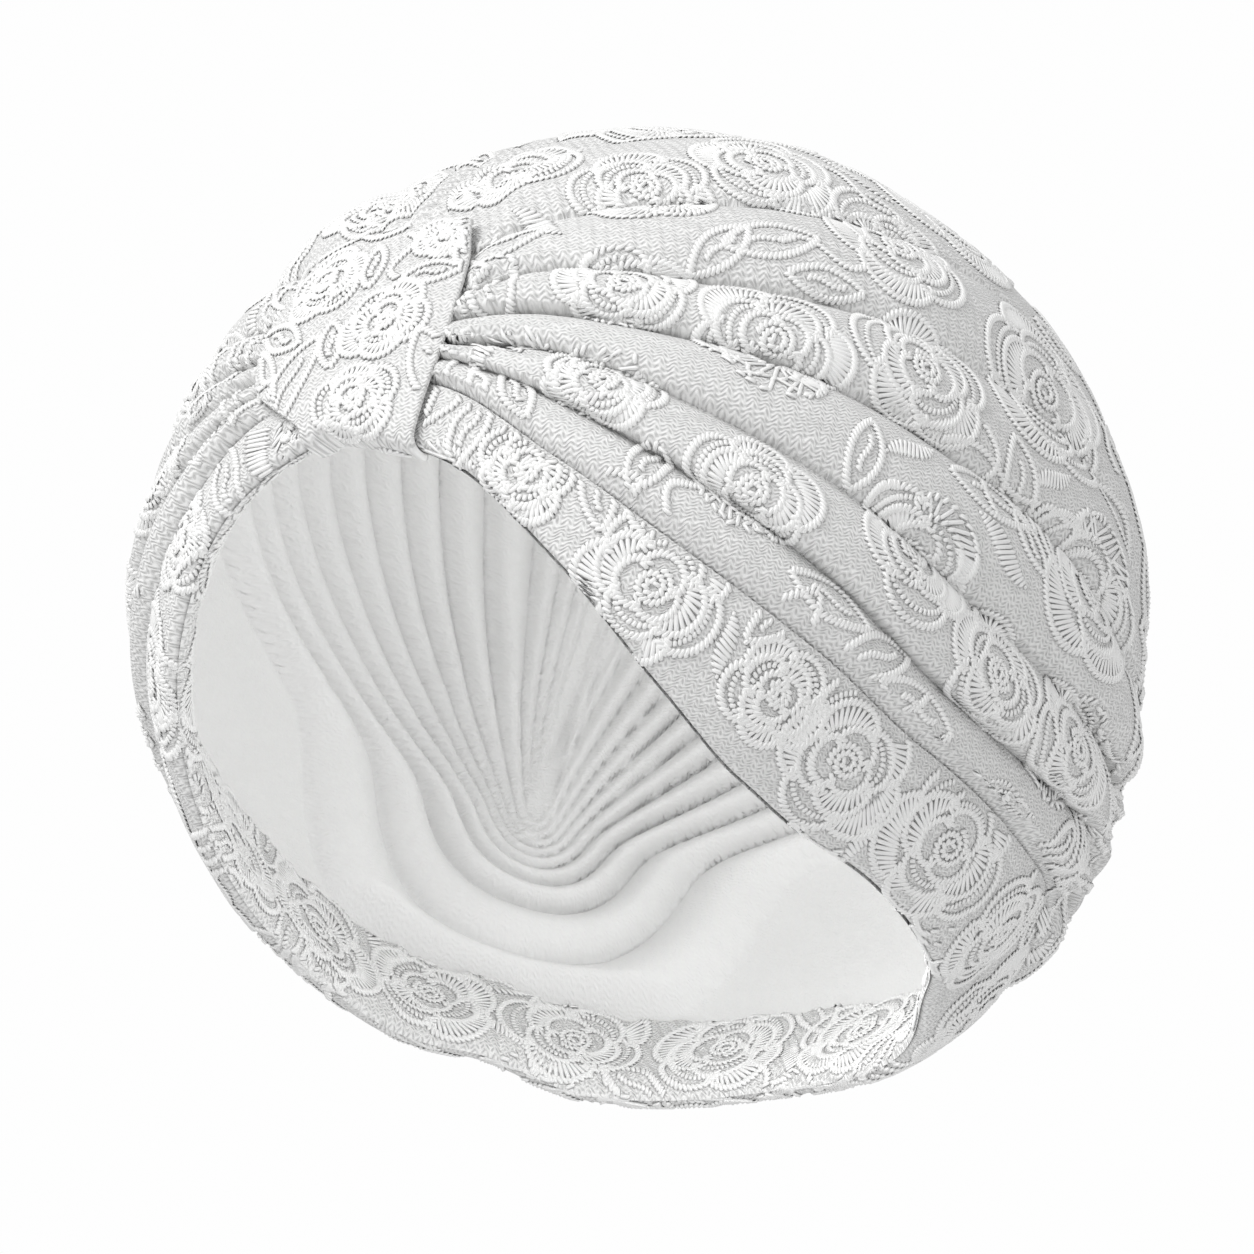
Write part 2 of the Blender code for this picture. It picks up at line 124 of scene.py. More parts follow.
# The brim band: its outer leaf is a low bow, and its fold under the rim and its inner leaf
# are given as a share of its height, a further height in mm and a distance out in mm
BAND_FOLD = [  # share, height, out
    (0.00, -0.3, -0.5), (0.00, -0.9, -1.6), (0.00, -0.5, -2.9), (0.00, 0.9, -3.7),
    (0.00, 2.6, -3.8), (0.00, 3.2, -3.3), (0.00, 2.6, -2.7), (0.00, 1.4, -2.2),
    (0.10, 1.0, -1.6), (0.50, 0.0, -1.1), (0.985, 0.0, -1.6), (1.00, 0.0, -0.6)]
HEM_SHARE = 0.34            # height of the hem's stitch line on the band
HEM_DIP = 0.45 * MM
FACING_FOOT = [  # height over the rim and further out than its face, in mm, at its lower edge
    (-1.5, 4.9), (-1.3, 4.0), (-0.8, 3.2), (0.1, 2.4), (1.2, 1.5), (2.6, 0.6), (4.4, 0.0)]
FACING_TOP = [  # azimuth, elevation
    (0, -1.6), (15, -5.6), (30, -11.8), (45, -14.8), (60, -19.0), (75, -21.5), (90, -22.5),
    (128, -24.2), (160, -23.8), (180, -23.3)]
LINING_FOOT = 6.0 * MM

# The pleats of the lining nest in the shape of a U under each gather. A deep valley hangs
# about its depth under the focus, and the shallowest ones turn a little above it. Their
# arms fan out upwards, wider towards the forehead than towards the nape.
PLEAT_FOCUS = 5.0           # elevation of the point that all the U shapes nest round
PLEAT_TURN = 3.0            # degrees over which a U's bottom turns into its arms
PLEAT_SPREAD = (0.22, 0.115)            # share by which the arms widen for each degree up
PLEAT_VALLEYS = (  # depths in degrees
    0.2, 0.45, 0.75, 1.2, 2.1, 3.1, 4.2, 5.6, 7.6, 10.6, 15.0, 23.0, 36.0)
PLEAT_HEIGHT = 8.5 * MM
PLEAT_STEEPNESS = 0.85      # height of a pleat against its width
PLEAT_SHARPNESS = 0.65      # below 1 the valleys between pleats are narrow
PLEAT_TOP_FADE = (0.75, 35, 75)         # share lost at the top, between which elevations
PLEAT_FRONT_FADE = (0.7, 10, 60)        # share lost at the forehead, between which azimuths

# The front knot: a strip wrapped over the gathered front and the rim
KNOT_SIDES = [  # elevation, left azimuth, right azimuth
    (-12, -3.0, 11.5), (-7, -3.5, 12.0), (-3, -9.0, 12.6), (3, -14.0, 13.0),
    (11, -13.0, 12.5), (20, -10.0, 9.5)]
KNOT_PATH = [  # elevation, distance out in mm, and 1 where the elevation is from the rim
    (20.0, 1.5, 0), (19.0, 2.8, 0), (16.5, 3.5, 0), (12.0, 3.7, 0), (6.0, 3.9, 0),
    (0.0, 3.9, 0), (-3.5, 3.8, 0), (0.2, 3.3, 1), (-1.0, 1.9, 1), (-1.5, -0.6, 1),
    (-1.5, -3.4, 1), (-1.0, -5.7, 1), (0.4, -7.4, 1), (2.4, -8.4, 1), (5.2, -8.6, 1)]
KNOT_RIM = -7.2
KNOT_BULGE = 0.9 * MM
KNOT_CREASE = 0.5 * MM      # height of the soft creases along the strip
KNOT_WALL = 1.5 * MM
NECK_SINK = 0.6 * MM
NECK_AZIMUTH = 10.0
NECK_TOP = 21.0
KNOT_COVERS_CROWN = (-11, 11, 19)       # lowest and highest azimuth, and highest elevation
KNOT_COVERS_BRIM = (-4, 12)             # lowest and highest azimuth
KNOT_LACE = (16, 21)        # azimuth to each side, and elevation, that its own lace reaches
LACE_MARGIN = 0.3           # degrees that the lace keeps from the band's top edge

# The lace: satin stitches, slanting across cords and hatching petals and leaves
FORM_RADIUS = 108 * MM      # mean distance of the cloth from the middle of the hollow
STITCH_PITCH = 1.12
STITCH_SLANT = 48.0         # degrees between a stitch and its cord
CORD_WIDTH = 2.3
FILL_SLANT = 70.0           # the same in a filled petal or leaf
FILL_HEIGHT = 0.7           # height of a filling's stitches against a cord's
STITCH_JITTER = 0.06        # share by which stitches differ in length, and radians in turn
UNEVEN_STEPS = (12.9898, 78.233)        # radians from stitch to stitch, for turn and length
STITCH_STRETCH = 1.5        # a stitch that a fold stretches further is left out
WALK_STEP = 0.9 * MM        # step of the way over the folds from a motif's middle
WALK_LIMIT = 3              # rows or columns of the grid that one step crosses at most
MOTIF_MISS = 5 * MM         # a motif whose middle is further off the cloth is left out
STITCH_POINTS = [  # place along in half lengths, place across in pitches, height as a share
    (-1.0, 0.0, -0.25), (-0.5, -0.56, 0.35), (-0.5, 0.0, 0.9), (-0.5, 0.56, 0.35),
    (0.5, -0.56, 0.35), (0.5, 0.0, 0.9), (0.5, 0.56, 0.35), (1.0, 0.0, -0.25)]
STITCH_FACES = [  # corners, counted through the points above
    (0, 2, 1), (0, 3, 2), (0, 1, 3), (1, 2, 5), (1, 5, 4), (2, 3, 6), (2, 6, 5),
    (3, 1, 4), (3, 4, 6), (7, 4, 5), (7, 5, 6), (7, 6, 4)]
ROSES_SIDE = [  # azimuth, elevation, diameter in mm, turn in degrees
    (10, 30, 31, 20), (27, 26, 31, 80), (40, 36, 34, 140), (58, 32, 37, 10), (63, 15, 36, 60),
    (85, 27, 46, 200), (46, 8, 36, 100), (96, 5, 42, 40), (68, -7, 33, 160), (29, 10, 30, 0),
    (101, -13, 35, 90), (84, -13, 32, 270), (30, -3, 27, 45), (48, -10, 30, 190),
    (118, 24, 44, 120), (143, 10, 44, 30), (166, -3, 42, 75), (151, -14, 34, 15),
    (168, 22, 43, 150), (72, 53, 46, 35), (112, 50, 48, 240), (20, 49, 40, 300),
    (155, 46, 46, 60), (44, 72, 46, 20), (135, 76, 44, 110)]
ROSES_BAND = [  # azimuth, elevation, diameter in mm, turn in degrees
    (24, -13, 22, 30), (40, -22.5, 34, 0), (58, -29, 24, 80), (71, -32, 34, 140), (94, -32, 38, 20),
    (117, -31, 34, 200), (141, -31, 36, 100), (166, -31, 36, 45)]
ROSES_KNOT = [  # azimuth, elevation, diameter in mm, turn in degrees
    (4, -5.5, 21, 60), (5, 4.5, 22, 20), (-6, 12, 22, 200), (8, 15.5, 15, 100)]
ROSE_BUD_TURNS = 2.2
ROSE_BUD_REACH = (0.04, 0.20)           # inner radius as a share, and how much it grows
ROSE_PETAL = (1.16, 0.08)   # a petal's way round against an even share, and how early it starts
ROSE_RING_TURN = 0.31       # share of a turn from one ring to the next
ROSE_FILL_REACH = 0.42      # where a petal's filling lies between its ring's radii
ROSE_RINGS = [  # inner and outer radius as a share, petals, width of the filling as a share
    (0.24, 0.44, 3, 0.0), (0.42, 0.70, 4, 0.19), (0.67, 0.98, 5, 0.25)]
ROSE_SWAY = 0.07            # share by which petals differ
LEAF_CELL = 150 * MM ** 2   # area of cloth for each leaf
LEAF_LENGTH = 27.0
LEAF_WIDTH = 11.0
TENDRIL_LENGTH = 30.0       # a winding cord beside a leaf
TENDRIL_SWING = 2.6
GOLDEN_TURN = math.pi * (3 - math.sqrt(5))
OTHER_SIDE_TURN = 137.0     # so that the two sides' roses aren't mirror images

# How finely the cloths are made
CROWN_COLUMNS = 230
CROWN_ROWS = 140
LINING_COLUMNS = 286
LINING_ROWS = 170
ROW_SAMPLES = 3000          # fine steps that the crown's rows are chosen from
CROWD_SAMPLES = 2000        # the same for the lining's rows and columns
PLEAT_COLUMNS = (2.2, 116.0, 34.0)      # how much closer, near which azimuth, reach
PLEAT_ROWS = (1.6, 0.20, 0.16)          # the same for shares of the way to the crest
BAND_COLUMNS = 400
BAND_ROWS = 22
FACING_ROWS = 12
KNOT_ROWS = 90
KNOT_COLUMNS = 34
TUFT_ROWS = 76
TUFT_COLUMNS = 23

# The stage; a lamp's place is how far back, up and right of the origin it is for the camera
LAMPS = [  # name, place in metres, size in metres, power in watts
    ("key", (0.8, 1.3, -0.9), 1.0, 19.0), ("fill", (1.2, -0.6, 1.0), 1.6, 4.0)]
HOLLOW_PLACE = (0.06, -0.03, 0.03)      # of the small lamp inside the hollow
HOLLOW_SIZE = 0.035
HOLLOW_POWER = 0.15
SKY_LIGHT = 0.70
BACKDROP = (0.99, 0.99, 0.99, 1.0)      # colour that the camera sees past the floor
FLOOR_LEVEL = -0.95
FLOOR_SIZE = 8.0
FLOOR_ROUGHNESS = 0.9

# The camera, at the photograph's angle
VIEW_AZIMUTH = 42.32
VIEW_ELEVATION = -31.17
VIEW_ROLL = 15.07
VIEW_DISTANCE = 1.272
VIEW_SCALE = 4471.7         # pixels for a metre at the middle of the hollow
VIEW_PIXELS = 1254
VIEW_MIDDLE = (649.65, 672.56)
SENSOR = 36.0


class HeadwrapSizes(bpy.types.PropertyGroup):
    """Sizes of the cloth's finish"""
    cord_height: FloatProperty(
        name="Cord height", description="How far the lace's cords stand over the mesh",
        default=0.85 * MM, unit="LENGTH")
    knit_row: FloatProperty(
        name="Knit row", description="Height of one row of the lace's knit mesh",
        default=0.9 * MM, unit="LENGTH")
    lining_row: FloatProperty(
        name="Lining row", description="Height of one row of the lining's knit",
        default=1.1 * MM, unit="LENGTH")


class HeadwrapColours(bpy.types.PropertyGroup):
    """Colours of the cloth and the stage"""
    thread: FloatVectorProperty(
        name="Lace thread", description="Satin thread of the cords and petals",
        subtype="COLOR", size=4, default=(0.95, 0.95, 0.945, 1.0))
    mesh: FloatVectorProperty(
        name="Lace mesh", description="Knit mesh between the cords",
        subtype="COLOR", size=4, default=(0.84, 0.84, 0.835, 1.0))
    lining: FloatVectorProperty(
        name="Lining", description="Brushed knit of the lining",
        subtype="COLOR", size=4, default=(0.95, 0.95, 0.945, 1.0))
    floor: FloatVectorProperty(
        name="Floor", description="Floor below the headwrap",
        subtype="COLOR", size=4, default=(0.9, 0.9, 0.9, 1.0))


def curve(x, rows):
    """Smooth curve through the rows of a two-column table, with no overshoot."""
    table = np.array(rows, float)
    xs, ys = table[:, 0], table[:, 1]
    step = np.diff(xs)
    rise = np.diff(ys) / step
    slope = np.concatenate([[rise[0]], np.zeros(len(xs) - 2), [rise[-1]]])
    for i in range(1, len(xs) - 1):
        if rise[i - 1] * rise[i] > 0:
            before = 2 * step[i] + step[i - 1]
            after = step[i] + 2 * step[i - 1]
            slope[i] = (before + after) / (before / rise[i - 1] + after / rise[i])
    x = np.clip(x, xs[0], xs[-1])
    k = np.clip(np.searchsorted(xs, x, side="right") - 1, 0, len(xs) - 2)
    s = (x - xs[k]) / step[k]
    return (ys[k] * (1 + 2 * s) * (1 - s) ** 2 + step[k] * slope[k] * s * (1 - s) ** 2
            + ys[k + 1] * s * s * (3 - 2 * s) + step[k] * slope[k + 1] * s * s * (s - 1))


def ease(x, low, high):
    """0 below low, 1 above high, and smooth between."""
    s = np.clip((x - low) / (high - low), 0, 1)
    return s * s * (3 - 2 * s)


def direction(azimuth, elevation):
    """Unit vector from the origin, from angles in degrees."""
    a, e = np.radians(azimuth), np.radians(elevation)
    return np.stack([np.sin(a) * np.cos(e), -np.cos(a) * np.cos(e), np.sin(e) + 0 * a], -1)


def angles(d):
    """Azimuth, without its sign, and elevation of unit vectors, in degrees."""
    azimuth = np.degrees(np.arctan2(np.abs(d[..., 0]), -d[..., 1]))
    return azimuth, np.degrees(np.arcsin(np.clip(d[..., 2], -1, 1)))


def unit(v):
    """The same vectors, with a length of 1."""
    return v / np.linalg.norm(v, axis=-1)[..., None]


def on_dome(d, out):
    """Point in direction d, at a distance out from the smooth dome."""
    azimuth, elevation = angles(d)
    reach = np.where(d[..., 1] < 0, FRONT_REACH, BACK_REACH)
    height = np.where(d[..., 2] > 0, CROWN_HEIGHT, DOME_DEPTH)
    radius = ((np.abs(d[..., 0]) / HALF_WIDTH) ** FULLNESS
              + (np.abs(d[..., 1]) / reach) ** FULLNESS
              + (np.abs(d[..., 2]) / height) ** FULLNESS) ** (-1 / FULLNESS)
    near = np.exp(-((azimuth - GATHER_AZIMUTH) / GATHER_REACH) ** 2)
    pull = GATHER_PULL * near * (1 - ease(elevation, GATHER_TOP - 5, GATHER_TOP + 25))
    point = d * (radius - pull + out)[..., None]
    wider = 1 + SPREAD * (point[..., 2] + point[..., 1])
    return point * np.stack([wider, np.ones_like(wider), np.ones_like(wider)], -1)


def degrees_of(length):
    """Angle at the origin of a length on the dome."""
    return np.degrees(length / HALF_WIDTH)


def between(foot, crest, share):
    """Direction a share of the way along the arc from foot to crest."""
    turn = np.arccos(np.clip((foot * crest).sum(-1), -1, 1))
    return ((np.sin((1 - share) * turn) / np.sin(turn))[..., None] * foot
            + (np.sin(share * turn) / np.sin(turn))[..., None] * crest)


def crest_of(azimuth):
    """Direction of a strand's end on the middle line over the crown."""
    over = np.radians(curve(azimuth, CREST))
    return np.stack([0 * over, -np.cos(over), np.sin(over)], -1)


def at_stations(values, azimuth):
    """A row of station values, read at any azimuth."""
    return curve(azimuth, list(zip(STATIONS, values)))


def roll_share(level, azimuth):
    """Share of the way to the crest for a grid with one azimuth in each column."""
    marks = [-1.0, 0.0] + [i + 0.5 for i in range(len(ROLLS))] + [len(ROLLS) + 1.0]
    share = np.empty_like(level)
    for column in range(level.shape[1]):
        foot = azimuth[0, column]
        ridges = [float(at_stations(shares, foot)) for _, shares, _ in ROLLS]
        share[:, column] = curve(level[:, column], list(zip(marks, [-0.1, 0.0] + ridges + [1.0])))
    return share


def neck(azimuth, elevation):
    """1 where the knot draws the cloth in, 0 away from it."""
    beside = 1 - ease(azimuth, NECK_AZIMUTH, NECK_AZIMUTH + 4)
    return beside * (1 - ease(elevation, NECK_TOP, NECK_TOP + 6))


def channel(azimuth, elevation):
    """1 in the channel along a gather, 0 away from it."""
    beside = 1 - ease(np.abs(azimuth - GATHER_AZIMUTH), TUFT_HALF_WIDTH, TUFT_HALF_WIDTH + 4)
    return beside * (1 - ease(elevation, GATHER_TOP, GATHER_TOP + 8))


def above_band(azimuth, elevation):
    """0 at the band's top edge, 1 a little way above it."""
    return ease(elevation - curve(azimuth, BAND_TOP), 0, 7)


def small_folds(level, foot, side):
    """Wrinkles by the knot and the gathers, and a slow unevenness; side is 1 or -1."""
    middle, reach = KNOT_FOLDS
    by_knot = np.exp(-((foot - middle) / reach) ** 2)
    by_gather = np.exp(-((foot - GATHER_AZIMUTH) / GATHER_FOLD_REACH) ** 2)
    ripple = (np.sin(2 * np.pi * (2.6 * level + 0.25 * np.sin(foot / 5 + side)))
              + 0.6 * np.sin(2 * np.pi * (4.3 * level - 0.2 * np.cos(foot / 4))))
    slow = (np.sin(side * foot / 9 + 2.1 * level) * np.sin(1.7 * level - foot / 17)
            + 0.5 * np.sin(side * foot / 5.3 - 3.1 * level + 1))
    inland = (ease(foot, 0, 12) * (1 - ease(foot, 160, 180))
              * (1 - ease(level, len(ROLLS) - 0.5, len(ROLLS) + 1)))
    return (WRINKLE * ripple * np.maximum(by_knot, by_gather) + DRAPE * slow) * inland


def crest_rolls(level, foot):
    """Low rolls that fan out of the knot's top over the front of the crown."""
    across = np.clip(level - len(ROLLS), 0, 1)
    fade = 1 - ease(foot, *CREST_ROLL_FADE)
    return CREST_ROLL_HEIGHT * fade * np.abs(np.sin(np.pi * CREST_ROLLS * across)) ** 0.8


def roll_form(level, foot):
    """Height of the roll that each place is on, and 0 in its valleys to 1 on its ridge."""
    number = np.clip(np.floor(level), 0, len(ROLLS) - 1).astype(int)
    heights = np.stack([at_stations(h, foot) for _, _, h in ROLLS], -1)
    height = np.take_along_axis(heights, number[..., None], -1)[..., 0] * MM
    across = np.clip(level - number, 0, 1)
    return height, np.sin(np.pi * across ** ROLL_LEAN) ** ROLL_SHARPNESS


def roll_relief(level, foot, azimuth, elevation, side):
    """Height of the crown's rolls over the dome; foot is the strand's own azimuth."""
    height, shape = roll_form(level, foot)
    flat = channel(azimuth, elevation)
    tight = neck(azimuth, elevation)
    raised = above_band(azimuth, elevation)
    valley = VALLEY_SINK * (1 - shape) * np.minimum(1, height / FULL_ROLL) * raised
    sunk = (flat * GATHER_CHANNEL + tight * NECK_SINK) * raised
    relief = height * shape - valley + crest_rolls(level, foot) + small_folds(level, foot, side) * raised
    tucked = TUCK_DEPTH * (1 - ease(level, -0.3, 0.0))
    return (1 - tight) * (1 - flat) * relief - sunk - tucked


def pleat_form(azimuth, elevation):
    """Depth in degrees of the U through a place on the lining, and how wide its arms are there."""
    beside = (azimuth - GATHER_AZIMUTH) * np.cos(np.radians(elevation))
    above = elevation - PLEAT_FOCUS
    turn = np.hypot(above, PLEAT_TURN)
    brow, nape = PLEAT_SPREAD
    spread = 1 + np.where(beside < 0, brow, nape) * (above + turn) / 2
    return np.hypot(beside / spread, (above - turn) / 2), spread


def pleat_relief(azimuth, elevation):
    """How far the lining's pleats stand into the hollow."""
    sway = 0.35 * np.sin(elevation / 7 + azimuth / 23)
    depth, spread = pleat_form(azimuth + sway, elevation)
    number = np.clip(np.searchsorted(PLEAT_VALLEYS, depth) - 1, 0, len(PLEAT_VALLEYS) - 2)
    spacing = np.diff(PLEAT_VALLEYS)[number]
    phase = np.clip((depth - np.array(PLEAT_VALLEYS)[number]) / spacing, 0, 1)
    wave = np.sin(np.pi * phase) ** PLEAT_SHARPNESS
    width = spacing * spread * math.radians(1) * FORM_RADIUS
    height = np.minimum(PLEAT_HEIGHT, PLEAT_STEEPNESS * width)
    lost, low, high = PLEAT_TOP_FADE
    top = 1 - lost * ease(elevation, low, high)
    foot = ease(elevation - curve(azimuth, FACING_TOP), 1, 6)
    lost, low, high = PLEAT_FRONT_FADE
    front = 1 - lost * (1 - ease(azimuth, low, high))
    return height * wave * top * foot * front


def lining_out(azimuth, elevation):
    """Distance out from the dome of the lining's face."""
    seam = GATHER_CHANNEL * (1 - ease(np.abs(azimuth - GATHER_AZIMUTH), 9, 16))
    room = seam * ease(elevation - curve(azimuth, FACING_TOP), 0.5, 5)
    return LINING_FACE - room - pleat_relief(azimuth, elevation)


def grid_faces(rows, columns, closed=False):
    """Quads of a grid of points laid out row by row, joined at the sides where closed."""
    r, c = np.meshgrid(np.arange(rows - 1), np.arange(columns if closed else columns - 1),
                       indexing="ij")
    after = (c + 1) % columns
    quads = np.stack([r * columns + c, r * columns + after,
                      (r + 1) * columns + after, (r + 1) * columns + c], -1)
    return quads.reshape(-1, 4)


def flat_coordinates(points):
    """Place on the cloth, in metres: along each parallel from the ear, and up from the brow."""
    azimuth, elevation = angles(unit(points))
    across = np.radians(azimuth - 90) * np.cos(np.radians(elevation)) * FORM_RADIUS
    return np.stack([across, np.radians(elevation) * FORM_RADIUS], -1)


def cloth_mesh(name, points, faces, places=None):
    """Smooth mesh with a map of its place on the flat cloth, in metres."""
    points = np.asarray(points, float).reshape(-1, 3)
    faces = np.asarray(faces, int)
    sides = faces.shape[1]
    mesh = bpy.data.meshes.new(name)
    mesh.vertices.add(len(points))
    mesh.vertices.foreach_set("co", points.astype(np.float32).ravel())
    mesh.loops.add(faces.size)
    mesh.loops.foreach_set("vertex_index", faces.astype(np.int32).ravel())
    mesh.polygons.add(len(faces))
    mesh.polygons.foreach_set("loop_start", np.arange(0, faces.size, sides, dtype=np.int32))
    mesh.update(calc_edges=True)
    places = flat_coordinates(points) if places is None else places
    layer = mesh.uv_layers.new(name="cloth")
    layer.data.foreach_set("uv", places[faces.ravel()].astype(np.float32).ravel())
    mesh.shade_smooth()
    mesh.validate()
    return mesh


def new_piece(name, mesh, finish, nodes=()):
    """Object at the origin that rides with the headwrap and stands for the given nodes."""
    piece = bpy.data.objects.new(name, mesh)
    bpy.context.scene.collection.objects.link(piece)
    mesh.materials.append(finish)
    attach(piece, "root")
    if nodes:
        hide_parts(*nodes)
    return piece


def row_levels(count):
    """Levels of the crown's rows: half even along the cloth, half even over the rolls."""
    fine = np.linspace(-0.45, len(ROLLS) + 1, ROW_SAMPLES)
    share = roll_share(fine[:, None], np.array([[90.0]]))[:, 0]
    reach = (share - share[0]) / (share[-1] - share[0])
    steps = (fine - fine[0]) / (fine[-1] - fine[0])
    level = np.interp(np.linspace(0, 1, count), 0.55 * reach + 0.45 * steps, fine)
    inside = ease(level, -0.1, 0.2) * (1 - ease(level, len(ROLLS) - 0.2, len(ROLLS)))
    return level - inside * VALLEY_ROWS * np.sin(2 * np.pi * level) / (2 * np.pi)


def crown_points(foot, level, side=1):
    """Points of one side of the crown, for a grid with one strand in each column."""
    start, end = direction(foot, curve(foot, BAND_TOP)), crest_of(foot)
    height, shape = roll_form(level, foot)
    share = roll_share(level, foot)
    d = between(start, end, share)
    free = (1 - neck(*angles(d))) * (1 - channel(*angles(d))) * ease(level, 0.0, 0.5)
    way = np.arccos(np.clip((start * end).sum(-1), -1, 1)) * FORM_RADIUS
    d = between(start, end, share - OVERHANG * free * height * shape / way)
    return on_dome(d, roll_relief(level, foot, *angles(d), side)) * (side, 1, 1)


def over_the_crest(left, right):
    """One grid that goes up the left side and down the right one, with its middle lines at x = 0."""
    left, right = left.copy(), right.copy()
    for half in (left, right):
        half[:, 0, 0] = half[:, -1, 0] = half[-1, :, 0] = 0
    return np.concatenate([left, right[-2::-1]])


def crest_faces(rows, columns):
    """Quads of such a grid, whose two sides share the points of its first and last columns."""
    index = np.arange(rows * columns).reshape(rows, columns)
    half = rows // 2 + 1
    for column in (0, -1):
        index[half:, column] = index[half - 2::-1, column]
    return index.ravel()[grid_faces(rows, columns)]


def crown_grid():
    """Points of the lace crown: rolls of cloth from the knot to the gathers and round the back."""
    foot, level = np.meshgrid(np.linspace(0, 180, CROWN_COLUMNS), row_levels(CROWN_ROWS))
    return over_the_crest(crown_points(foot, level, 1), crown_points(foot, level, -1))


def crowded(high, count, extra, middle, reach):
    """Numbers from 0 to high that lie closer together near the middle."""
    fine = np.linspace(0, high, CROWD_SAMPLES)
    density = 1 + extra * np.exp(-((fine - middle) / reach) ** 2)
    run = np.concatenate([[0], np.cumsum(0.5 * (density[1:] + density[:-1]))])
    return np.interp(np.linspace(0, run[-1], count), run, fine)


def lining_mesh():
    """Knit lining with pleats nested under the two gathers, its face to the hollow."""
    azimuth, share = np.meshgrid(crowded(180, LINING_COLUMNS, *PLEAT_COLUMNS),
                                 crowded(1, LINING_ROWS, *PLEAT_ROWS))
    start = direction(azimuth, curve(azimuth, RIM) + degrees_of(LINING_FOOT))
    d = between(start, crest_of(azimuth), share)
    side = on_dome(d, lining_out(*angles(d)))
    points = over_the_crest(side, side * (-1, 1, 1))
    return cloth_mesh("lining_cloth", points, crest_faces(*points.shape[:2])[:, ::-1])


def rounded(rows):
    """The same rows of points with the corners between them cut once."""
    before, after = rows[:-1], rows[1:]
    cut = np.stack([0.75 * before + 0.25 * after, 0.25 * before + 0.75 * after], 1)
    return cut.reshape(-1, *rows.shape[1:])


def ring_mesh(name, rows):
    """Strip of cloth from rows of points that each run once round the hat."""
    return cloth_mesh(name, rows, grid_faces(*rows.shape[:2], closed=True))


def band_row(azimuth, share, up, out):
    """One row of the band right round: share of its height, further height, distance out."""
    side = np.abs(azimuth)
    rim = curve(side, RIM)
    elevation = rim + share * (curve(side, BAND_TOP) - rim) + degrees_of(up)
    sag = DRAPE * (np.sin(azimuth / 7) + 0.6 * np.sin(azimuth / 3.1 + 5 * share)) * np.sin(np.pi * share)
    return on_dome(direction(azimuth, elevation), out + 0.5 * sag)


def band_grid():
    """Brim band: a folded strip with a hem line that turns in under the rim."""
    azimuth = np.linspace(-180, 180, BAND_COLUMNS, endpoint=False)
    rows = []
    for share in np.linspace(0.97, 0.03, BAND_ROWS):
        hem = HEM_DIP * math.exp(-((share - HEM_SHARE) / 0.03) ** 2)
        rows.append(band_row(azimuth, share, 0, (0.3 + 0.7 * math.sin(math.pi * share) ** 0.7) * MM - hem))
    for share, up, out in BAND_FOLD:
        rows.append(band_row(azimuth, share, up * MM, out * MM))
    return rounded(np.stack(rows))[::-1]


def facing_grid():
    """Lace facing inside the rim, from the band's fold up over the lining's edge."""
    azimuth = np.linspace(-180, 180, BAND_COLUMNS, endpoint=False)
    side = np.abs(azimuth)
    rim = curve(side, RIM)
    high = curve(side, FACING_TOP) + 0.35 * np.sin(azimuth / 2.3) + 0.25 * np.sin(azimuth / 0.9)
    rows = []
    for up, out in FACING_FOOT:
        way = direction(azimuth, rim + degrees_of(up * MM))
        rows.append(on_dome(way, 0 * azimuth + FACING_INNER + out * MM))
    low = rim + degrees_of(FACING_FOOT[-1][0] * MM)
    for share in np.linspace(0, 1, FACING_ROWS)[1:]:
        rows.append(on_dome(direction(azimuth, low + share * (high - low)),
                            FACING_INNER + 0.3 * MM * share * np.sin(azimuth / 6 + 4 * share)))
    for share in (1.0, 0.8):
        rows.append(on_dome(direction(azimuth, low + share * (high - low)), 0 * azimuth + FACING_OUTER))
    return rounded(np.stack(rows))[::-1]


def knot_points(rows, columns):
    """Grid of the knot's outer face: along the strip's path, and across it."""
    across = np.linspace(0, 1, columns)
    heights, outs = [], []
    for elevation, out, from_rim in KNOT_PATH:
        level = np.array([elevation + from_rim * KNOT_RIM])
        left = curve(level, [(row[0], row[1]) for row in KNOT_SIDES])
        right = curve(level, [(row[0], row[2]) for row in KNOT_SIDES])
        azimuth = left + (right - left) * across
        heights.append(np.stack([azimuth, elevation + from_rim * curve(np.abs(azimuth), RIM)]))
        outs.append(out * MM + KNOT_BULGE * (1 - (2 * across - 1) ** 2) * (out > 0))
    heights, outs = np.stack(heights), np.stack(outs)
    at = np.linspace(0, len(KNOT_PATH) - 1, rows)
    marks = np.arange(len(KNOT_PATH))
    azimuth, elevation, out = (
        np.stack([curve(at, np.stack([marks, table[:, c]], 1)) for c in range(columns)], 1)
        for table in (heights[:, 0], heights[:, 1], outs))
    crease = np.sin(2.2 * np.pi * across[None, :] + 0.12 * elevation) * np.sin(np.pi * across)[None, :]
    return on_dome(direction(azimuth, elevation), out + KNOT_CREASE * crease * (out > 0))


